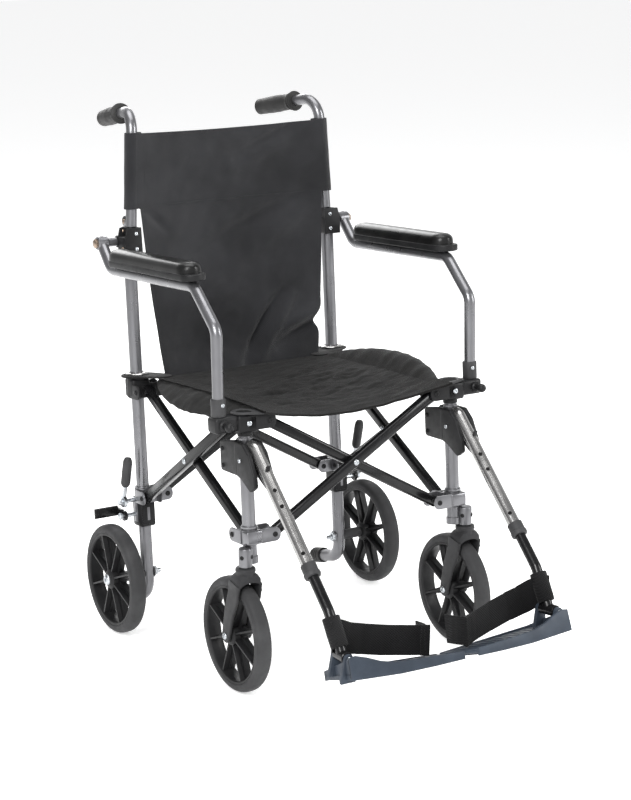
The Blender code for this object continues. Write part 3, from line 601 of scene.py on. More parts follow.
# ---------------------------------------------------------------- upper brackets
for side, s in SIDES:
    x = s * LEG_X
    body = f"upper_front_{side}"
    piece(f"front_block_{side}", BLACK, body,
          [box((s * 0.1830, s * 0.2190), (-0.0170, 0.0165), (0.4445, LUG_TOP), 0.0045, 3),
           box((s * 0.2100, s * 0.2580), (-0.0125, 0.0185), (0.4480, LUG_TOP), 0.0050, 3),
           rod((s * ARM_X, -0.0180, 0.461), (s * ARM_X, 0.0010, 0.461), 0.0088, 0.002),
           ring(0.0093, 0.0122, 0, 0.0075, (x, 0, 0.4380), (0, 0, 1)),
           *ear("across", True, s, PIVOT_TOP, BLACK, body, 0.0125),
           *ear("along", True, s, PIVOT_TOP, BLACK, body, 0.0125)],
          [f"upper_front_bracket_{side}"])
    piece(f"inner_tube_{side}", SILVER, body,
          [tube([(x, 0, LEG_LOW + 0.006), (x, 0, 0.4600)], 0.0092)], [f"sliding_tube_{side}"])
    bolt(body, (x, -0.0170, 0.4600), (0, -1, 0), 0.0048, 0.0022)
    bolt(body, (s * 0.2165, -0.0125, 0.4630), (0, -1, 0), 0.0036, 0.0016, BLACK)

    body = f"upper_rear_{side}"
    piece(f"rear_block_{side}", BLACK, body,
          [ring(0.0116, 0.0176, 0, 0.0385, (x, REAR_Y, 0.4465), (0, 0, 1), soft=0.0022),
           box((x - 0.0172, x + 0.0172), (REAR_Y - 0.0180, REAR_Y + 0.0150), (0.4480, 0.4820),
               0.0050, 3),
           *ear("across", False, s, PIVOT_TOP, BLACK, body, 0.0125),
           *ear("along", False, s, PIVOT_TOP, BLACK, body, 0.0125)],
          [f"upper_rear_bracket_{side}"])
    piece(f"grommet_{side}", BRIGHT, body,
          [lathe([(0.0117, 0.0), (0.0180, 0.0), (0.0196, 0.0008), (0.0180, 0.0026),
                  (0.0150, 0.0034), (0.0128, 0.0028), (0.0117, 0.0010), (0.0117, 0.0)],
                 (x, REAR_Y, 0.4885), (0, 0, 1))])


# ---------------------------------------------------------------- back hinges and push handles
for side, s in SIDES:
    x, bx = s * LEG_X, s * BACK_X
    body = f"rear_frame_{side}"
    outline = [(s * 0.1840, 0.6980), (s * 0.2160, 0.6980), (s * 0.2165, 0.7260),
               (s * 0.2120, 0.7440), (s * 0.2020, 0.7447), (s * 0.1850, 0.7447)]
    piece(f"hinge_block_{side}", BLACK, body,
          [box((s * 0.1842, s * 0.2158), (0.3580, 0.3890), (0.6980, 0.7300), 0.0035, 3),
           *[prism(outline, "y", lo, hi, 0.0008) for lo, hi in ((0.3575, 0.3607), (0.3863, 0.3893))],
           *[prism([(0.3600, 0.7250), (0.3600, 0.7447)]
                   + [(HINGE_Y + 0.0072 * math.sin(a), HINGE_Z + 0.0072 * math.cos(a))
                      for a in (0, 0.6, 1.2, 1.8, 2.4, 3.0)] + [(0.3860, 0.7250)],
                   "x", lo, hi, 0.0005)
             for lo, hi in ((bx - 0.0095, bx - 0.0055), (bx + 0.0055, bx + 0.0095))],
           rod((s * 0.2068, ARM_Y, ARM_Z), (s * 0.2166, ARM_Y, ARM_Z), 0.0104, 0.0015)],
          [f"back_hinge_bracket_{side}"])
    for z in (0.7080, 0.7340):
        bolt(body, (s * 0.1955, 0.3575, z), (0, -1, 0), 0.0034, 0.0016)
    for way in (1, -1):
        bolt(body, (bx + way * 0.0095, HINGE_Y, HINGE_Z), (way, 0, 0), 0.0050, 0.0026, BRASS)
    bolt(body, (s * 0.2160, 0.3700, 0.7080), (s, 0, 0), 0.0042, 0.0024, BRASS)

    body = f"upper_back_{side}"
    corner, end = Vector((s * BEND.x, *BEND.yz)), Vector((s * HANDLE_END.x, *HANDLE_END.yz))
    run = (end - corner).normalized()
    piece(f"handle_tube_{side}", SILVER, body,
          [tube([(bx, BACK_Y, BACK_START), corner, end], BACK_R, 0.034, 36),
           rod((bx - 0.0048, HINGE_Y, HINGE_Z), (bx + 0.0048, HINGE_Y, HINGE_Z), 0.0066),
           box((bx - 0.0048, bx + 0.0048), (BACK_Y + 0.004, HINGE_Y + 0.0060),
               (HINGE_Z + 0.0065, HINGE_Z + 0.0180), 0.0012)],
          [f"upper_back_tube_{side}"])
    eye = Vector((bx, HINGE_Y + 0.0040, HINGE_Z + 0.0150))
    piece(f"latch_ring_{side}", BLACK, body,
          [ring(0.0030, 0.0098, -0.0030, 0.0030, eye, (1, 0, 0), soft=0.0014)])
    for way in (1, -1):
        bolt(body, eye + Vector((way * 0.0028, 0, 0)), (way, 0, 0), 0.0046, 0.0024, BRASS)
    grip = [(0.0098, 0), (0.0150, 0.0006), (0.0176, 0.0022), (0.0182, 0.0045), (0.0166, 0.0068),
            (0.0146, 0.0076), (0.0140, 0.0092), (0.0152, 0.0106), (0.0160, 0.0126),
            (0.0148, 0.0150)]
    steps = 30
    for i in range(steps + 1):
        t = i / steps
        swell = 0.0142 + 0.0012 * math.sin(math.pi * t) ** 2 + 0.0004 * math.sin(26 * math.pi * t)
        grip.append((swell, 0.0165 + (GRIP_LENGTH - 0.0225) * t))
    grip += [(0.0141, GRIP_LENGTH - 0.0045), (0.0145, GRIP_LENGTH - 0.0030),
             (0.0125, GRIP_LENGTH - 0.0006), (0.0060, GRIP_LENGTH), (0.0030, GRIP_LENGTH - 0.0020),
             (0, GRIP_LENGTH - 0.0020)]
    piece(f"grip_{side}", GRIP, body,
          [lathe(grip, end - run * (GRIP_LENGTH - 0.004), run, 48)], [f"push_grip_{side}"])


# ---------------------------------------------------------------- armrests
def pad_shell(s, low, top, inset, ends, crown, rings=26):
    """Long moulded pad: round nose and heel, flat foot, crowned top."""
    middle = s * sum(PAD_X) / 2
    half = (PAD_X[1] - PAD_X[0]) / 2 - inset
    start, stop = PAD_Y[0] + ends[0], PAD_Y[1] - ends[1]
    shell = []
    for i in range(rings + 1):
        t = (1 - math.cos(math.pi * i / rings)) / 2
        nose = min(t, 1 - t) * (stop - start) / half
        width = half * (math.sqrt(max(0.0, 1 - (1 - min(nose, 1)) ** 2)) * 0.96 + 0.04)
        rise = (top - low) * (0.55 + 0.45 * min(1, nose * 1.6) ** 0.5)
        outline = []
        for k in range(17):
            angle = math.pi * k / 16
            across, lift = math.cos(angle), math.sin(angle)
            outline.append((middle + width * math.copysign(abs(across) ** 0.75, across),
                            start + (stop - start) * t,
                            low + rise * lift ** crown))
        shell.append(outline)
    return loft(shell)


for side, s in SIDES:
    ax = s * ARM_X
    body = f"armrest_pin_{side}"
    piece(f"arm_pivot_{side}", SILVER, body,
          [rod((s * 0.2168, ARM_Y, ARM_Z), (s * 0.2335, ARM_Y, ARM_Z), 0.0078, 0.001),
           rod((s * 0.2320, ARM_Y, ARM_Z), (s * 0.2550, ARM_Y, ARM_Z), 0.0050)],
          [f"armrest_pivot_{side}"])
    bolt(body, (s * 0.2542, ARM_Y, ARM_Z), (s, 0, 0), 0.0078, 0.0044, BRASS, hexagon=True)

    body = f"armrest_{side}"
    piece(f"arm_tube_{side}", SILVER, body,
          [tube([(ax, ARM_Y + 0.006, ARM_Z + 0.006), (s * 0.2450, 0.358, 0.6770),
                 (s * 0.2450, 0.062, 0.6770), (ax, -0.003, 0.6130), (ax, 0.003, LUG_TOP + 0.01)],
                ARM_R, 0.026, 36),
           rod((s * 0.2342, ARM_Y, ARM_Z), (s * 0.2538, ARM_Y, ARM_Z), 0.0114, 0.0015)],
          [f"armrest_tube_{side}"])
    piece(f"arm_socket_{side}", GREY, body,
          [lathe([(0.0094, 0), (0.0118, 0), (0.0122, 0.0010), (0.0122, 0.0270), (0.0117, 0.0285),
                  (0.0094, 0.0288)], (ax, 0.003, LUG_TOP + 0.0005), (0, 0, 1)),
           rod((ax, 0.003, LUG_TOP + 0.0005), (ax, 0.003, LUG_TOP + 0.0040), 0.0110)])
    bolt(body, (ax - s * 0.0020, -0.0086, LUG_TOP + 0.019), (0, -1, 0), 0.0034, 0.0016)
    base = []
    half = (PAD_X[1] - PAD_X[0]) / 2
    for centre_y, start in ((PAD_Y[1] - half, 0), (PAD_Y[0] + half, 180)):
        for i in range(13):
            angle = math.radians(start + 15 * i)
            base.append((s * sum(PAD_X) / 2 + half * math.cos(angle),
                         centre_y + half * math.sin(angle)))
    piece(f"pad_base_{side}", BLACK, body, [prism(base, "z", 0.6868, 0.6975, 0.0018)])
    pad = piece(f"arm_pad_{side}", PADDING, body,
                [pad_shell(s, 0.6972, 0.7160, 0.0012, (0.012, 0.002), 0.62)],
                [f"armrest_pad_{side}"], crisp=60)
    for y in (0.100, 0.290):
        bolt(body, (s * 0.2450, y, 0.6868), (0, 0, -1), 0.0042, 0.0020)
    body = f"knob_{side}"
    piece(f"knob_ball_{side}", BLACK, body,
          [lathe([(0, 0.0085), (0.0030, 0.0080), (0.0056, 0.0062), (0.0070, 0.0034),
                  (0.0074, 0.0002), (0.0068, -0.0032), (0.0054, -0.0058), (0.0046, -0.0070),
                  (0.0044, -0.0140), (0.0040, -0.0145), (0.0040, -0.0300), (0, -0.0300)],
                 (ax, -0.0300, 0.461), (0, -1, 0))],
          [f"lock_knob_{side}"], crisp=50)


# ---------------------------------------------------------------- footrests
down = (HANGER_END - HANGER_TOP).normalized()


def along_hanger(s, distance):
    point = HANGER_TOP + down * distance
    return Vector((s * point.x, *point.yz))


def pin_line(s):
    """Direction of the footplate's hinge pin, turned with the plate."""
    return Matrix.Rotation(s * PLATE_YAW, 3, "Z") @ Vector((0, 1, 0))


def shell_outline():
    """Side view (y, z) of a footrest half shell: lug behind the leg, hood over the hanger."""
    return rounded([(0.0400, HOUSING_LOW, 0), (0.0515, HOUSING_LOW, 0),
                    (0.0515, HOUSING_TOP - 0.003, 0),
                    (0.0100, HOUSING_TOP + 0.003, 0), (-0.0220, HOUSING_TOP + 0.002, 0),
                    (-0.0400, HOUSING_TOP - 0.014, 0), (-0.0560, HOUSING_LOW + 0.006, 0),
                    (-0.0580, HOUSING_LOW - 0.012, 0), (-0.0420, HOUSING_LOW - 0.022, 0),
                    (-0.0150, HOUSING_LOW - 0.006, 0), (0.0000, HOUSING_LOW - 0.001, 0),
                    (0.0400, HOUSING_LOW, 0)], 0.006, 4)[1:-1]


for side, s in SIDES:
    x = s * LEG_X
    fx, fy, fz = s * FOOT_PIVOT.x, FOOT_PIVOT.y, FOOT_PIVOT.z
    piece(f"bush_{side}", BLACK, f"foot_bush_{side}",
          [ring(0.0114, 0.0132, 0, HOUSING_TOP - HOUSING_LOW, (x, 0, HOUSING_LOW), (0, 0, 1))],
          [f"footrest_bush_{side}"])
    body = f"footrest_{side}"
    outline = [(p.x, p.y) for p in shell_outline()]
    shells = [prism(outline, "x", x + lo, x + hi, 0.0022)
              for lo, hi in ((-0.0190, -0.0108), (0.0108, 0.0190))]
    piece(f"housing_{side}", BLACK, body,
          [*shells,
           ring(0.0135, 0.0192, 0, HOUSING_TOP - HOUSING_LOW, (x, 0, HOUSING_LOW), (0, 0, 1),
                soft=0.002),
           box((x - 0.0112, x + 0.0112), (0.0140, 0.0510), (HOUSING_LOW + 0.003, HOUSING_TOP - 0.006),
               0.002),
           box((x - 0.0112, x + 0.0112), (-0.0250, -0.0140), (HOUSING_LOW, HOUSING_TOP - 0.001),
               0.003)],
          [f"footrest_housing_{side}"])
    for way in (1, -1):
        for y, z in ((0.0435, 0.4130), (0.0435, 0.3850), (-0.0130, 0.4010)):
            bolt(body, (x + way * 0.0190, y, z), (way, 0, 0), 0.0038, 0.0020,
                 ZINC if y < 0 else BLACK)
    bolt(body, (x + 0.0035, 0.0535, 0.4020), (0, 1, 0), 0.0040, 0.0022)
    piece(f"release_lever_{side}", BLACK, body,
          [sweep([(x, -0.0560, 0.3760), (x, -0.0680, 0.3900), (x, -0.0720, 0.3990)],
                 rounded_box(0.0080, 0.0034, 0.0015), (0, 0, 1))])
    piece(f"hanger_{side}", BRIGHT, body,
          [tube([(x, -0.0170, HOUSING_TOP - 0.0060), along_hanger(s, 0.004) + Vector((0, 0.003, 0)),
                 along_hanger(s, HANGER_LENGTH)], HANGER_R, 0.012, 36)],
          [f"hanger_tube_{side}"])
    clamp = lathe([(0.0104, 0), (0.0126, 0.0006), (0.0128, 0.0020), (0.0126, 0.0150),
                   (0.0136, 0.0160), (0.0138, 0.0200), (0.0128, 0.0230), (0.0092, 0.0234)],
                  along_hanger(s, HANGER_LENGTH - 0.019), down)
    piece(f"hanger_clamp_{side}", GREY, body, [clamp])
    # Near-black discs where the hanger's holes are: painted shade of the hole openings.
    hole_shade_discs = []
    facing = down.cross(Vector((1, 0, 0))).normalized()
    facing = facing if facing.y < 0 else -facing
    for distance in (0.088, 0.118, 0.205):
        centre = along_hanger(s, distance) + (facing * 0.86 - Vector((0.5, 0, 0))).normalized() \
            * (HANGER_R - 0.0004)
        hole_shade_discs.append(lathe([(0, 0.0006), (0.0029, 0.0006), (0.0033, 0), (0, 0)], centre,
                           (facing * 0.86 - Vector((0.5, 0, 0))).normalized(), 20))
    piece(f"hanger_holes_{side}", HOLE_SHADE, body, hole_shade_discs)

    body = f"extension_{side}"
    pivot = Vector((fx, fy, fz))
    run = (pivot - along_hanger(s, EXTENSION_BEND)).normalized()
    piece(f"extension_{side}_tube", BLACK_BAR, body,
          [tube([along_hanger(s, EXTENSION_START), along_hanger(s, EXTENSION_BEND),
                 pivot - run * 0.004], EXTENSION_R),
           rod(pivot - pin_line(s) * 0.0167, pivot + pin_line(s) * 0.0167, 0.0096, 0.0010)],
          [f"extension_tube_{side}"])
    # Near-black discs where the extension tube's holes are: painted shade of the openings.
    piece(f"extension_holes_{side}", HOLE_SHADE, body,
          [lathe([(0, 0.0005), (0.0022, 0.0005), (0.0026, 0), (0, 0)],
                 along_hanger(s, d) + facing * (EXTENSION_R - 0.0003), facing, 20)
           for d in (0.276, 0.300)])


# ---------------------------------------------------------------- footplates
def footplate(side, s):
    """Shallow tray: tread, a front wall that falls away to the middle, ribs and two ears.

    Drawn with its pin at (FOOT_PIVOT.x, 0, 0), then turned in plan and set on the pivot."""
    fx = s * FOOT_PIVOT.x
    turn = (Matrix.Translation((fx, *FOOT_PIVOT.yz)) @ Matrix.Rotation(s * PLATE_YAW, 4, "Z")
            @ Matrix.Translation((-fx, 0, 0)))
    hinge_line = Vector((s * 0.2000, 0.007, -0.0330))
    tilt = (Matrix.Translation(hinge_line) @ Matrix.Rotation(-PLATE_TILT, 4, "X")
            @ Matrix.Rotation(-s * PLATE_DROOP, 4, "Y") @ Matrix.Translation(-hinge_line))
    outer_x, inner_x, front_y, rear_y, tread_z = 0.2040, 0.0080, -0.0450, 0.0550, -0.0295
    tread = box((s * inner_x, s * outer_x), (front_y, rear_y), (tread_z - 0.005, tread_z), 0.0015)
    wall = [(s * outer_x, tread_z + 0.0225), (s * (outer_x - 0.012), tread_z + 0.0245),
            (s * (outer_x - 0.030), tread_z + 0.0195), (s * (outer_x - 0.052), tread_z + 0.0110),
            (s * (outer_x - 0.076), tread_z + 0.0055), (s * 0.0900, tread_z + 0.0040),
            (s * inner_x, tread_z + 0.0030),
            (s * inner_x, tread_z - 0.0090), (s * 0.0600, tread_z - 0.0120),
            (s * 0.1200, tread_z - 0.0140), (s * outer_x, tread_z - 0.0120)]
    rear_wall = [(s * outer_x, tread_z + 0.0040), (s * inner_x, tread_z + 0.0010),
                 (s * inner_x, tread_z - 0.0080), (s * outer_x, tread_z - 0.0110)]
    gusset = [(front_y, tread_z - 0.0110), (rear_y, tread_z - 0.0100), (rear_y, tread_z + 0.004),
              (0.010, tread_z + 0.0120), (front_y, tread_z + 0.0215)]
    shapes = [tread, prism(wall, "y", front_y - 0.001, front_y + 0.0050, 0.0012),
              prism(rear_wall, "y", rear_y - 0.0050, rear_y, 0.0010),
              prism(gusset, "x", s * (outer_x - 0.0045), s * outer_x, 0.0010),
              prism([(front_y + 0.002, tread_z), (0.015, tread_z),
                     (front_y + 0.002, tread_z + 0.0160)], "x",
                    s * (outer_x - 0.0340), s * (outer_x - 0.0300), 0.0008)]
    for i in range(9):
        rib = s * (inner_x + 0.020 + 0.0195 * i)
        shapes.append(box((rib - 0.0012, rib + 0.0012), (front_y + 0.008, rear_y - 0.008),
                          (tread_z - 0.001, tread_z + 0.0009), 0.0004))
        shapes.append(box((rib - 0.0010, rib + 0.0010), (front_y + 0.004, rear_y - 0.004),
                          (tread_z - 0.0100, tread_z - 0.0045), 0))
    for shape in shapes:
        shape.transform(tilt)
    for near in (-0.0245, 0.0170):
        outline = [(fx - 0.0150, -0.0315), (fx - 0.0075, 0)]
        outline += [(fx + 0.0075 * math.cos(a), 0.0075 * math.sin(a))
                    for a in [math.radians(d) for d in range(180, -1, -20)]]
        outline += [(fx + 0.0095, -0.0365), (fx - 0.0150, -0.0375)]
        shapes.append(prism(outline, "y", near, near + 0.0075, 0.0008))
    for shape in shapes:
        shape.transform(turn)
    body = f"footplate_hinged_{side}"
    piece(f"tread_{side}", PLATE, body, shapes, [f"footplate_{side}"])
    pivot, pin = Vector((fx, *FOOT_PIVOT.yz)), pin_line(s)
    bolt(body, pivot - pin * 0.0245, -pin, 0.0046, 0.0028)
    bolt(body, pivot + pin * 0.0245, pin, 0.0046, 0.0028)


for side, s in SIDES:
    footplate(side, s)


# ---------------------------------------------------------------- wheels and forks
def tyre_profile():
    """Round-shouldered solid tyre with a moulded line on each shoulder."""
    profile = [(0.0800, -0.0110)]
    steps = 36
    for i in range(steps + 1):
        angle = math.pi * (-0.5 + i / steps)
        out, across = math.cos(angle), math.sin(angle)
        radius = 0.0835 + (WHEEL_R - 0.0835) * out ** 0.70
        groove = 0.0005 if i in (6, steps - 6) else 0
        profile.append((radius - groove, 0.0142 * math.copysign(abs(across) ** 0.80, across)))
    return profile + [(0.0800, 0.0110), (0.0800, -0.0110)]


def wheel(prefix, body, centre):
    """Tyre on a dished rim with eight deep blade spokes, square to the floor."""
    piece(f"{prefix}_rubber", TYRE, body, [lathe(tyre_profile(), centre, (1, 0, 0), 96)],
          [f"{prefix}_tyre"], axes=LEVEL, crisp=30)
    rim = lathe([(0.0770, -0.0110), (0.0785, -0.0128), (0.0815, -0.0132), (0.0825, -0.0112),
                 (0.0825, 0.0112), (0.0815, 0.0132), (0.0785, 0.0128), (0.0770, 0.0110),
                 (0.0762, 0), (0.0770, -0.0110)], centre, (1, 0, 0), 96)
    core = lathe([(0.0060, -0.0160), (0.0105, -0.0164), (0.0140, -0.0150), (0.0170, -0.0124),
                  (0.0170, 0.0124), (0.0140, 0.0150), (0.0105, 0.0164), (0.0060, 0.0160),
                  (0.0060, -0.0160)], centre, (1, 0, 0), 48)
    outline = [(0.0150, -0.0124), (0.0400, -0.0116), (0.0785, -0.0112), (0.0785, 0.0112),
               (0.0400, 0.0116), (0.0150, 0.0124)]
    wedge = [(0.0150, 0.0076), (0.0785, 0.0024), (0.0785, -0.0024), (0.0150, -0.0076)]
    blades = []
    for i in range(8):
        blade = loft([[(across, y, out) for out, across in outline] for y in (-0.0015, 0.0015)])
        web = loft([[(across, y, out) for out, y in wedge] for across in (-0.0014, 0.0014)])
        for shape in (blade, web):
            shape.transform(Matrix.Translation(centre)
                            @ Matrix.Rotation(math.radians(45 * i + 22.5), 4, "X"))
            blades.append(shape)
    piece(f"{prefix}_spokes", BLACK, body, [rim, core, *blades], [f"{prefix}_hub"], axes=LEVEL)


def fork(side, stem):
    """Moulded fork: round neck, broad arched crown and two legs swept back to the axle."""
    neck_top = 2 * WHEEL_R + 0.0270
    crown_low = neck_top - 0.0225
    axle_y = STEM_Y + TRAIL
    neck = [(0, neck_top), (0.0120, neck_top), (0.0158, neck_top - 0.0010),
            (0.0166, neck_top - 0.0030), (0.0166, neck_top - 0.0060), (0.0158, neck_top - 0.0072),
            (0.0164, neck_top - 0.0150), (0, neck_top - 0.0150)]
    shapes = [lathe(neck, (stem, STEM_Y, 0), (0, 0, 1))]
    crown = []
    for i in range(17):
        across = -1 + i / 8
        arch = math.sqrt(max(0, 1 - across * across))
        top = crown_low - 0.0140 + 0.0300 * arch ** 0.5
        low = crown_low - 0.0180 + 0.0180 * arch ** 0.8
        half = 0.0150 + 0.0020 * arch
        place_x = stem + across * 0.0228
        crown.append([(place_x, STEM_Y - half, low), (place_x, STEM_Y - half * 0.9, top - 0.003),
                      (place_x, STEM_Y - half * 0.55, top), (place_x, STEM_Y + half * 0.55, top),
                      (place_x, STEM_Y + half * 0.9, top - 0.003), (place_x, STEM_Y + half, low)])
    shapes.append(loft(crown))
    for way in (-1, 1):
        path = [(stem + way * 0.0204, STEM_Y, crown_low - 0.0020),
                (stem + way * 0.0204, STEM_Y + 0.0040, crown_low - 0.0250),
                (stem + way * 0.0198, axle_y - 0.0110, 0.1400),
                (stem + way * 0.0194, axle_y - 0.0010, WHEEL_R + 0.006),
                (stem + way * 0.0194, axle_y + 0.0010, WHEEL_R - 0.0070)]
        widths = [1.40, 1.36, 1.16, 1.0, 0.62]
        shapes.append(sweep(path, rounded_box(0.0240, 0.0054, 0.0024), (way, 0, 0),
                            lambda t: (widths[round(t * 4)], 1.0)))
        shapes.append(rod((stem + way * 0.0168, axle_y, WHEEL_R),
                          (stem + way * 0.0224, axle_y, WHEEL_R), 0.0116, 0.0014))
        bolt(f"caster_{side}", (stem + way * 0.0222, axle_y, WHEEL_R), (way, 0, 0),
             0.0058, 0.0030, axes=LEVEL)
    piece(f"fork_{side}", FORK, f"caster_{side}", shapes, [f"caster_fork_{side}"], axes=LEVEL)
    piece(f"fork_axle_{side}", SILVER, f"caster_{side}",
          [rod((stem - 0.0180, axle_y, WHEEL_R), (stem + 0.0180, axle_y, WHEEL_R), 0.0040),
           rod((stem, STEM_Y, neck_top - 0.002), (stem, STEM_Y, neck_top + 0.024), 0.0050)],
          axes=LEVEL)


for side, s in SIDES:
    wheel(f"rear_wheel_{side}", f"rear_wheel_{side}",
          LEAN @ Vector((s * REAR_WHEEL_X, REAR_Y, AXLE_Z)))
    wheel(f"front_wheel_{side}", f"front_wheel_{side}",
          Vector((s * STEM_X, STEM_Y + TRAIL, WHEEL_R)))
    fork(side, s * STEM_X)


# ---------------------------------------------------------------- parking brakes
for side, s in SIDES:
    bx = s * BRAKE_X
    pivot = Vector((bx, REAR_Y, BRAKE_PIVOT_Z))
    lower = Vector((bx, REAR_Y, SHOE_PIVOT_Z))
    lean = Vector((0, -0.026, 0.080)).normalized()
    frame_body = f"rear_frame_{side}"
    piece(f"brake_rods_{side}", ZINC, frame_body,
          [rod((s * 0.2140, REAR_Y, z), (s * 0.2455, REAR_Y, z), 0.0040)
           for z in (BRAKE_PIVOT_Z, SHOE_PIVOT_Z)])
    for z in (BRAKE_PIVOT_Z, SHOE_PIVOT_Z):
        bolt(frame_body, (s * 0.2450, REAR_Y, z), (s, 0, 0), 0.0062, 0.0044, hexagon=True)
    body = f"brake_hand_{side}"
    piece(f"brake_arm_{side}", ZINC, body,
          [ring(0.0043, 0.0108, -0.0030, 0.0030, pivot, (1, 0, 0)),
           sweep([pivot + lean * 0.006, pivot + lean * 0.034], rounded_box(0.0052, 0.0068, 0.001),
                 (1, 0, 0))],
          [f"brake_lever_{side}"])
    knob = [(0, 0), (0.0062, 0), (0.0076, 0.0030), (0.0084, 0.0060), (0.0084, 0.0440),
            (0.0078, 0.0500), (0.0058, 0.0545), (0.0030, 0.0560), (0, 0.0562)]
    piece(f"brake_knob_{side}", GREY, body, [lathe(knob, pivot + lean * 0.031, lean)])
    body = f"brake_press_{side}"
    shoe_y, shoe_z = REAR_Y + 0.026, SHOE_PIVOT_Z + 0.002
    piece(f"brake_bar_{side}", BLACK_BAR, body,
          [ring(0.0043, 0.0090, -0.0029, 0.0029, lower, (1, 0, 0)),
           box((bx - 0.0029, bx + 0.0029), (REAR_Y + 0.006, shoe_y + 0.004),
               (shoe_z - 0.0050, shoe_z + 0.0080), 0.001),
           box((bx, s * 0.2840), (shoe_y - 0.0022, shoe_y + 0.0022),
               (shoe_z - 0.0060, shoe_z + 0.0120), 0.001)],
          [f"brake_shoe_{side}"])


# ---------------------------------------------------------------- cloth
def ripple(point, scale, seed):
    """Smooth noise from -1 to 1."""
    return noise.noise(Vector(point) * scale + Vector((seed, 0, 0)))


def crease(x, z, start, end, width):
    """1 on a line from start to end, falling smoothly to 0 around it and at its ends."""
    a, b, p = Vector(start), Vector(end), Vector((x, z))
    t = max(0.0, min(1.0, (p - a).dot(b - a) / (b - a).length_squared))
    gap = (p - (a + (b - a) * t)).length
    return math.exp(-(gap / width) ** 2) * (0.35 + 0.65 * math.sin(math.pi * t))


def skin(name, mat, body, point, columns, rows, thickness=0.0014, stands_for=()):
    """Cloth with two faces and a closed rim; point(u, v) gives its middle surface."""
    grid = [[Vector(point(i / columns, j / rows)) for i in range(columns + 1)]
            for j in range(rows + 1)]
    bm = bmesh.new()
    layers = []
    for way in (-0.5, 0.5):
        layer = []
        for j in range(rows + 1):
            line = []
            for i in range(columns + 1):
                du = grid[j][min(i + 1, columns)] - grid[j][max(i - 1, 0)]
                dv = grid[min(j + 1, rows)][i] - grid[max(j - 1, 0)][i]
                line.append(bm.verts.new(grid[j][i] + du.cross(dv).normalized()
                                         * thickness * way))
            layer.append(line)
        layers.append(layer)
    for layer in layers:
        for j in range(rows):
            for i in range(columns):
                bm.faces.new((layer[j][i], layer[j][i + 1], layer[j + 1][i + 1],
                              layer[j + 1][i]))
    low, high = layers
    rim = [(j, 0) for j in range(rows)] + [(rows, i) for i in range(columns)] \
        + [(j, columns) for j in range(rows, 0, -1)] + [(0, i) for i in range(columns, 0, -1)]
    for (a, b), (c, d) in zip(rim, rim[1:] + rim[:1]):
        bm.faces.new((low[a][b], low[c][d], high[c][d], high[a][b]))
    bmesh.ops.recalc_face_normals(bm, faces=bm.faces)
    return piece(name, mat, body, [bm], stands_for, crisp=50)


def stitches(points, lift, pitch=0.0042, radius=0.00034):
    """Row of thread stitches along a line of points, each raised on lift."""
    lift = Vector(lift)
    shapes, travelled, next_at = [], 0.0, pitch
    for a, b in zip(points, points[1:]):
        a, b = Vector(a), Vector(b)
        run = (b - a).length
        while next_at <= travelled + run:
            along = (b - a).normalized()
            middle = a + along * (next_at - travelled) + lift
            half = along * pitch * 0.30
            shapes.append(sweep([middle - half - lift * 0.6, middle, middle + half - lift * 0.6],
                                disc(radius, 6), along.orthogonal()))
            next_at += pitch
        travelled += run
    return shapes


# ---------------------------------------------------------------- back sling
def tube_at(z):
    t = (z - BACK_START) / (BEND.z - BACK_START)
    return BACK_X + (BEND.x - BACK_X) * t, BACK_Y + (BEND.y - BACK_Y) * t


def back_edge(z, s):
    """Half width of the back cloth at a height; the left edge pinches in above the seat."""
    if z >= SLEEVE_LOW:
        return tube_at(z)[0] - 0.004
    t = (z - BACK_LOW) / (SLEEVE_LOW - BACK_LOW)
    half = 0.151 + 0.031 * t + 0.003 * math.sin(math.pi * t)
    if s > 0:
        half += 0.010 * (1 - t) - 0.0095 * math.exp(-((z - 0.548) / 0.016) ** 2)
    return half


def back_point(u, z):
    """Point of the back cloth, u from 0 at the right edge to 1 at the left."""
    across = 2 * u - 1
    x = across * back_edge(z, across)
    hollow = 1 - across * across
    t = (z - BACK_LOW) / (BACK_TOP - BACK_LOW)
    y = tube_at(max(z, SLEEVE_LOW))[1] - 0.0100 + 0.022 * hollow
    y -= 0.014 * math.exp(-((z - BACK_LOW) / 0.035) ** 2) * hollow ** 0.5
    fold = 0.0150 * crease(x, z, (0.098, 0.600), (0.018, 0.482), 0.0085)
    fold -= 0.0120 * crease(x, z, (0.116, 0.590), (0.040, 0.480), 0.0110)
    fold += 0.0140 * crease(x, z, (0.172, 0.548), (0.086, 0.505), 0.0100)
    fold -= 0.0100 * crease(x, z, (0.170, 0.572), (0.095, 0.535), 0.0120)
    fold += 0.0075 * crease(x, z, (0.150, 0.776), (-0.060, 0.690), 0.0140)
    fold -= 0.0070 * crease(x, z, (0.165, 0.760), (0.020, 0.670), 0.0200)
    fold += 0.0080 * crease(x, z, (0.140, 0.902), (0.020, 0.848), 0.0110)
    fold -= 0.0060 * crease(x, z, (0.120, 0.880), (0.010, 0.830), 0.0140)
    fold += 0.0040 * crease(x, z, (-0.172, 0.772), (-0.130, 0.735), 0.0080)
    fold -= 0.0030 * crease(x, z, (-0.160, 0.560), (-0.050, 0.640), 0.0220)
    loose = hollow ** 0.6 * (1 - 0.5 * t)
    y += fold + 0.0050 * ripple((x, z * 0.6, 0), 9, 3) * loose \
        + 0.0020 * ripple((x * 0.7 + z, z - x, 0), 34, 8) * loose
    if z >= SLEEVE_LOW:
        y -= 0.0016
    if z > BACK_TOP - 0.02:
        z = z - 0.0040 * hollow * (z - BACK_TOP + 0.02) / 0.02
    return (x, y, z)


STRIP_LOW, STRIP_TOP = 0.7150, SLEEVE_LOW


def back_band(low, high, left=0.0, right=1.0):
    return lambda u, v: back_point(left + (right - left) * u, low + (high - low) * v)


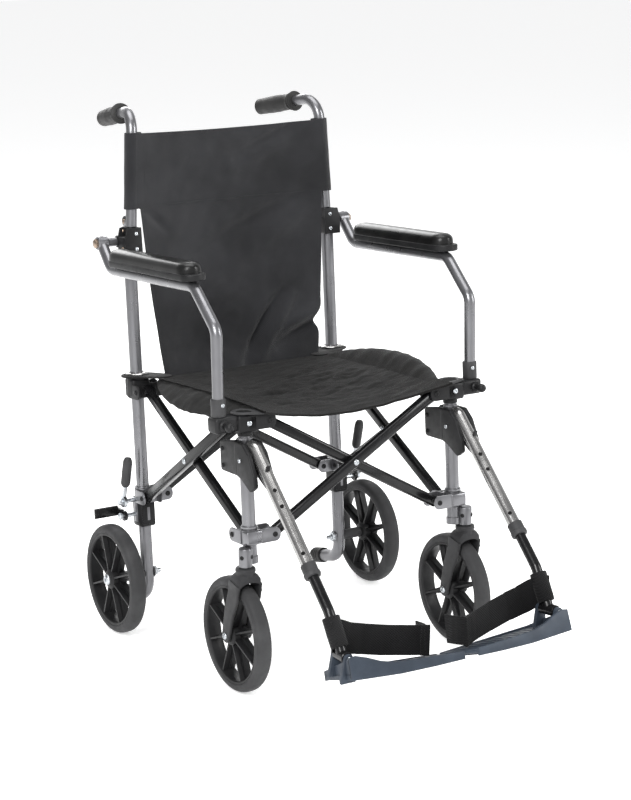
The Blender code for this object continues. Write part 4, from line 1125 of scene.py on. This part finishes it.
upper_band = back_band(SLEEVE_LOW, BACK_TOP)
upper = skin("back_upper", BACK_CLOTH_LIT, "upper_back_right", upper_band, 110, 44,
             stands_for=["back_sling"])
lower_band = back_band(BACK_LOW, STRIP_LOW)
lower = skin("back_lower", BACK_CLOTH_LIT, "rear_frame_right", lower_band, 110, 80)
for side, left, right in (("right", 0.0, 0.5), ("left", 0.5, 1.0)):
    strip = skin(f"back_strip_{side}", BACK_CLOTH_LIT, "",
                 back_band(STRIP_LOW, STRIP_TOP, left, right), 55, 22)
    hinge = LEAN @ Vector((0, HINGE_Y, HINGE_Z))
    start, end = (LEAN @ Vector((0, BACK_Y, z)) for z in (STRIP_LOW + 0.004, STRIP_TOP - 0.004))
    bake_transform(strip)


def sleeve_point(s):
    """Cloth wrapped round the tube, u once round and v up."""
    def point(u, v):
        z = SLEEVE_LOW - 0.0020 + (BACK_TOP - SLEEVE_LOW + 0.0030) * v
        x, y = tube_at(z)
        angle = 2 * math.pi * u
        radius = 0.0128 + 0.0006 * ripple((math.cos(angle), math.sin(angle), z * 20), 1.3, 5 + s)
        inward = 0.0050 * max(0.0, math.cos(angle)) ** 6
        return (s * (x - (radius + inward) * math.cos(angle)), y + radius * math.sin(angle), z)
    return point


for side, s in SIDES:
    wrap = sleeve_point(s)
    rings = [[wrap(i / 48, j / 30) for i in range(48)] for j in range(31)]
    inner = [[Vector(p) + (Vector((s * tube_at(p[2])[0], tube_at(p[2])[1], p[2])) - Vector(p))
              .normalized() * 0.0016 for p in ring_points] for ring_points in rings]
    sleeve = piece(f"back_sleeve_{side}", BACK_CLOTH_LIT, f"upper_back_{side}",
                   [loft(rings + inner[::-1], closed=True)], crisp=60)
    seam_x = tube_at(0.84)[0] - 0.0200
    seam = []
    for x in (seam_x, seam_x - 0.0055):
        line = []
        for i in range(40):
            z = SLEEVE_LOW + 0.002 + (BACK_TOP - SLEEVE_LOW - 0.006) * i / 39
            u = 0.5 + s * x / back_edge(z, s) / 2
            line.append(back_point(u, z))
        seam += stitches(line, (0, -0.0009, 0))
    piece(f"sleeve_seam_{side}", THREAD, "upper_back_right", seam)

seam_rows = []
for z in (SLEEVE_LOW + 0.003, BACK_TOP - 0.008):
    seam_rows += stitches([back_point(0.06 + 0.88 * i / 60, z) for i in range(61)],
                          (0, -0.0009, 0))
seams_upper = piece("upper_seams", THREAD, "upper_back_right", seam_rows)
hem_rows = stitches([back_point(0.02 + 0.96 * i / 60, BACK_LOW + 0.007) for i in range(61)],
                    (0, -0.0009, 0))
for u in (0.022, 0.978):
    hem_rows += stitches([back_point(u, BACK_LOW + 0.008 + 0.225 * i / 40) for i in range(41)],
                         (0, -0.0009, 0))
hem_lower = piece("lower_hem", THREAD, "rear_frame_right", hem_rows)
for cloth in (upper, lower, seams_upper, hem_lower):
    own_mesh(cloth)


# ---------------------------------------------------------------- seat sling
def seat_front(x):
    """The front edge, further forward at the corners."""
    return -0.0300 * (abs(x) / SEAT_HALF) ** 3 - 0.006


def seat_point(u, v):
    across = 2 * u - 1
    narrow = 0.0060 * math.sin(math.pi * v)
    x = across * (SEAT_HALF - narrow)
    front = seat_front(x)
    y = front + (0.3700 - front) * v
    droop = SEAT_SAG * (1 - across * across) ** 0.9 * (1 - 0.76 * v ** 1.3)
    z = SEAT_EDGE - droop - 0.004 * (1 - v) ** 6
    loose = (1 - across ** 6) * (0.35 + 0.65 * math.sin(math.pi * min(1, v * 1.1)))
    z += 0.0044 * ripple((x * 0.35, y, 0), 26, 2) * loose
    z += 0.0034 * ripple((x * 0.6 + y * 0.2, y * 1.6 - x * 0.25, 0), 42, 6) * loose
    z += 0.0016 * ripple((x * 0.8, y * 2.0, 0), 90, 9) * loose
    z -= 0.0050 * crease(x, y, (-0.120, 0.060), (0.060, 0.120), 0.006) * loose
    z -= 0.0050 * crease(x, y, (-0.150, 0.140), (0.020, 0.180), 0.006) * loose
    z += 0.0046 * crease(x, y, (-0.060, 0.100), (0.150, 0.220), 0.008) * loose
    z -= 0.0044 * crease(x, y, (0.020, 0.240), (0.160, 0.300), 0.007) * loose
    return (x, y, z)


def seat_part(low, high):
    return lambda u, v: seat_point(u, low + (high - low) * v)


SEAT_SPLIT = 0.52
for name, low, high, prefix in (("seat_front", 0.0, SEAT_SPLIT, "front"),
                                ("seat_rear", SEAT_SPLIT, 1.0, "rear")):
    half = skin(name, SEAT_CLOTH_SHADED, "", seat_part(low, high), 110, 60,
                stands_for=["seat_sling"] if prefix == "front" else ())
    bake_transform(half)

hem = []
for i in range(61):
    x, y, z = seat_point(i / 60, 0)
    hem.append((x, y + 0.0004, z - 0.0008))
hem_piece = piece("seat_hem", SEAT_CLOTH_SHADED, "", [sweep(hem, disc(0.0022, 12), (0, 0, 1))])
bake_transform(hem_piece)
for prefix, spans in (("front", (0.030, 0.46)), ("rear", (0.54, 0.965))):
    rows = []
    for v in ((0.045,) if prefix == "front" else (0.965,)):
        rows += stitches([seat_point(0.03 + 0.94 * i / 60, v) for i in range(61)],
                         (0, 0, 0.0009))
    for u in (0.035, 0.965):
        rows += stitches([seat_point(u, spans[0] + (spans[1] - spans[0]) * i / 40)
                          for i in range(41)], (0, 0, 0.0009))
    seat_seam = piece(f"seat_seam_{prefix}", THREAD, "", rows)
    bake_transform(seat_seam)


def flap_point(s):
    """Side flap over the braces: the left one bulges up, the right one droops outwards."""
    def point(u, v):
        y = -0.004 + 0.352 * v
        swell = math.sin(math.pi * v) ** 0.7
        inner = seat_point(0.5 + s * (0.5 - 0.055 + 0.020 * swell), min(1.0, (y + 0.03) / 0.40))
        out = abs(inner[0]) + (0.012 + 0.040 * swell) * u
        rise = (0.030 if s > 0 else 0.002) * math.sin(math.pi * u * 0.62) * swell
        drop = (-0.006 if s > 0 else -0.026) * u * u * swell
        wrinkle = 0.0022 * ripple((out, y, 0), 45, 12 + s) * swell
        return (s * out, y, inner[2] - 0.0018 + rise + drop + wrinkle)
    return point


for side, s in SIDES:
    flap_at = flap_point(s)
    flap = skin(f"seat_flap_{side}", FLAP_CLOTH, "", flap_at, 14, 60)
    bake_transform(flap)


def corner_patch(name, body, x, y, z, heading, hole, long, wide, ring_mat, tilt=0.0):
    """Teardrop cloth patch round a post hole, with a folded rim."""
    steps, rows = 48, 10
    rings = []
    for j in range(rows + 1):
        t = j / rows
        line = []
        for i in range(steps):
            angle = 2 * math.pi * i / steps
            point_out = max(0.0, math.cos(angle)) ** 3
            reach = wide + (long - wide) * point_out
            radius = hole + (reach - hole) * t
            px, py = radius * math.cos(angle), radius * math.sin(angle) * (1 - 0.25 * point_out)
            ca, sa = math.cos(heading), math.sin(heading)
            lift = 0.0012 * math.sin(math.pi * t) + tilt * max(0.0, px)
            line.append((x + px * ca - py * sa, y + px * sa + py * ca, z + lift))
        rings.append(line)
    under = [[(a, b, c - 0.0022) for a, b, c in line] for line in rings[::-1]]
    return piece(name, ring_mat, body, [loft(rings + under, closed=True)], crisp=50)


for side, s in SIDES:
    inward = 0 if s < 0 else math.pi
    corner_patch(f"front_patch_{side}", f"upper_front_{side}", s * LEG_X, 0.000, 0.4775,
                 inward + s * 0.25, 0.0130, 0.0440, 0.0215, GREY, -0.10)
    # Near-black disc filling the hole in the front patch: painted shade of the opening over the leg.
    piece(f"front_well_{side}", HOLE_SHADE, f"upper_front_{side}",
          [rod((s * LEG_X, 0, 0.4700), (s * LEG_X, 0, 0.4762), 0.0132)])
    corner_patch(f"rear_patch_{side}", f"upper_rear_{side}", s * LEG_X, REAR_Y, 0.4868,
                 inward + s * 0.55, 0.0160, 0.0620, 0.0270, FLAP_CLOTH, -0.06)


# ---------------------------------------------------------------- heel loops
def heel_loop(side, s):
    """Webbing stitched round the extension tube, sweeping behind the heel to a folded end."""
    bend, pivot = along_hanger(s, EXTENSION_BEND), Vector((s * FOOT_PIVOT.x, *FOOT_PIVOT.yz))
    run = (pivot - bend).normalized()
    wrap = bend + run * 0.0340
    path = [Vector((s * x, y, z)) for x, y, z in
            ((0.2080, -0.2560, 0.1640), (0.1985, -0.2440, 0.1640), (0.1880, -0.2440, 0.1620),
             (0.1660, -0.2360, 0.1510), (0.1400, -0.2320, 0.1435), (0.1000, -0.2370, 0.1350),
             (0.0640, -0.2500, 0.1310), (0.0360, -0.2640, 0.1290))]
    smooth = rounded(path, 0.020, 4)
    body = f"extension_{side}"
    strap = sweep(smooth, rounded_box(0.0024, 0.0490, 0.0009), (0, 0, 1))
    ringed = lathe([(0.0094, -0.0240), (0.0134, -0.0240), (0.0140, -0.0225), (0.0142, 0.0),
                    (0.0140, 0.0225), (0.0134, 0.0240), (0.0094, 0.0240), (0.0094, -0.0240)],
                   wrap, run)
    end, before = smooth[-1], smooth[-3]
    back = (before - end).normalized()
    fold = sweep([end - back * 0.0020, end + back * 0.0020, end + back * 0.0120],
                 rounded_box(0.0064, 0.0500, 0.0026), (0, 0, 1))
    tail = sweep([end + back * 0.002, end + Vector((-s * 0.004, 0.016, -0.001)),
                  end + Vector((-s * 0.008, 0.044, -0.004))], rounded_box(0.0024, 0.0470, 0.0009),
                 (0, 0, 1))
    piece(f"heel_webbing_{side}", WEBBING, body, [strap, ringed, fold, tail], [f"heel_loop_{side}"],
          crisp=50)
    threads = []
    for offset in (0.0060, 0.0130):
        spot = end + back * offset
        for face in (-0.0030, 0.0030):
            across = back.cross(Vector((0, 0, 1))).normalized() * face
            threads += stitches([spot + across + Vector((0, 0, z * 0.002)) for z in range(-9, 10)],
                                across * 0.1, 0.0038)
    near = smooth[6]
    for face in (-0.0014, 0.0014):
        threads += stitches([near + Vector((0, face, z * 0.002)) for z in range(-9, 10)],
                            (0, face * 0.2, 0), 0.0038)
    piece(f"heel_threads_{side}", THREAD, body, threads)


for side, s in SIDES:
    heel_loop(side, s)

for (body, mat_name), heads in fasteners.items():
    label = f"screws_{body}_{mat_name}"
    piece(label, bpy.data.materials[mat_name], body, heads, axes=LEVEL, crisp=45)


# ---------------------------------------------------------------- studio
def floor():
    bm = box((-14, 14), (-14, 14), (-0.02, -0.0002), 0)
    mesh = bpy.data.meshes.new("floor")
    bm.to_mesh(mesh)
    bm.free()
    obj = bpy.data.objects.new("floor", mesh)
    bpy.context.scene.collection.objects.link(obj)
    mat = material("studio_floor", None, (0.93, 0.93, 0.93), 0.0, 0.8,
                   Emission_Color=(1, 1, 1, 1), Emission_Strength=0.42)
    mesh.materials.append(mat)


def softbox(name, at, target, size, power):
    lamp = bpy.data.lights.new(name, "AREA")
    lamp.shape = "RECTANGLE"
    lamp.size, lamp.size_y = size
    lamp.energy = power
    obj = bpy.data.objects.new(name, lamp)
    obj.location = at
    obj.rotation_euler = (Vector(target) - Vector(at)).to_track_quat("-Z", "Y").to_euler()
    bpy.context.scene.collection.objects.link(obj)


floor()
middle = (0, 0, 0.45)
softbox("key", (-2.6, -2.2, 2.6), middle, (1.4, 1.8), 150)
softbox("fill", (2.8, -2.4, 1.8), middle, (1.2, 2.0), 90)
softbox("top", (0.0, 0.3, 3.4), middle, (2.4, 2.4), 90)
softbox("rim", (0.8, 3.2, 1.9), middle, (2.4, 1.4), 45)
world = bpy.data.worlds.new("studio")
world.use_nodes = True
nodes, links = world.node_tree.nodes, world.node_tree.links
across = nodes.new("ShaderNodeVectorMath")
across.operation = "DOT_PRODUCT"
across.inputs[1].default_value = (0.522, 0.853, 0.0)
links.new(nodes.new("ShaderNodeTexCoord").outputs["Generated"], across.inputs[0])
size = nodes.new("ShaderNodeMath")
size.operation = "ABSOLUTE"
links.new(across.outputs["Value"], size.inputs[0])
sweep_light = nodes.new("ShaderNodeMapRange")
for socket, value in (("From Min", 0.35), ("From Max", 0.9), ("To Min", 0.30), ("To Max", 1.05)):
    sweep_light.inputs[socket].default_value = value
links.new(size.outputs[0], sweep_light.inputs["Value"])
links.new(sweep_light.outputs["Result"], nodes["Background"].inputs["Strength"])
nodes["Background"].inputs["Color"].default_value = (0.99, 0.995, 1.0, 1)
bpy.context.scene.world = world
bpy.context.scene.view_settings.view_transform = "Standard"

camera = bpy.data.objects.new("camera", bpy.data.cameras.new("camera"))
camera.location = (-1.8647, -3.0373, 1.3690)
camera.rotation_euler = (math.radians(75.515), 0, math.radians(-31.465))
camera.data.sensor_fit = "HORIZONTAL"
camera.data.sensor_width = 36.0
camera.data.lens = 124.8
camera.data.shift_y = -0.0070
bpy.context.scene.collection.objects.link(camera)
bpy.context.scene.camera = camera
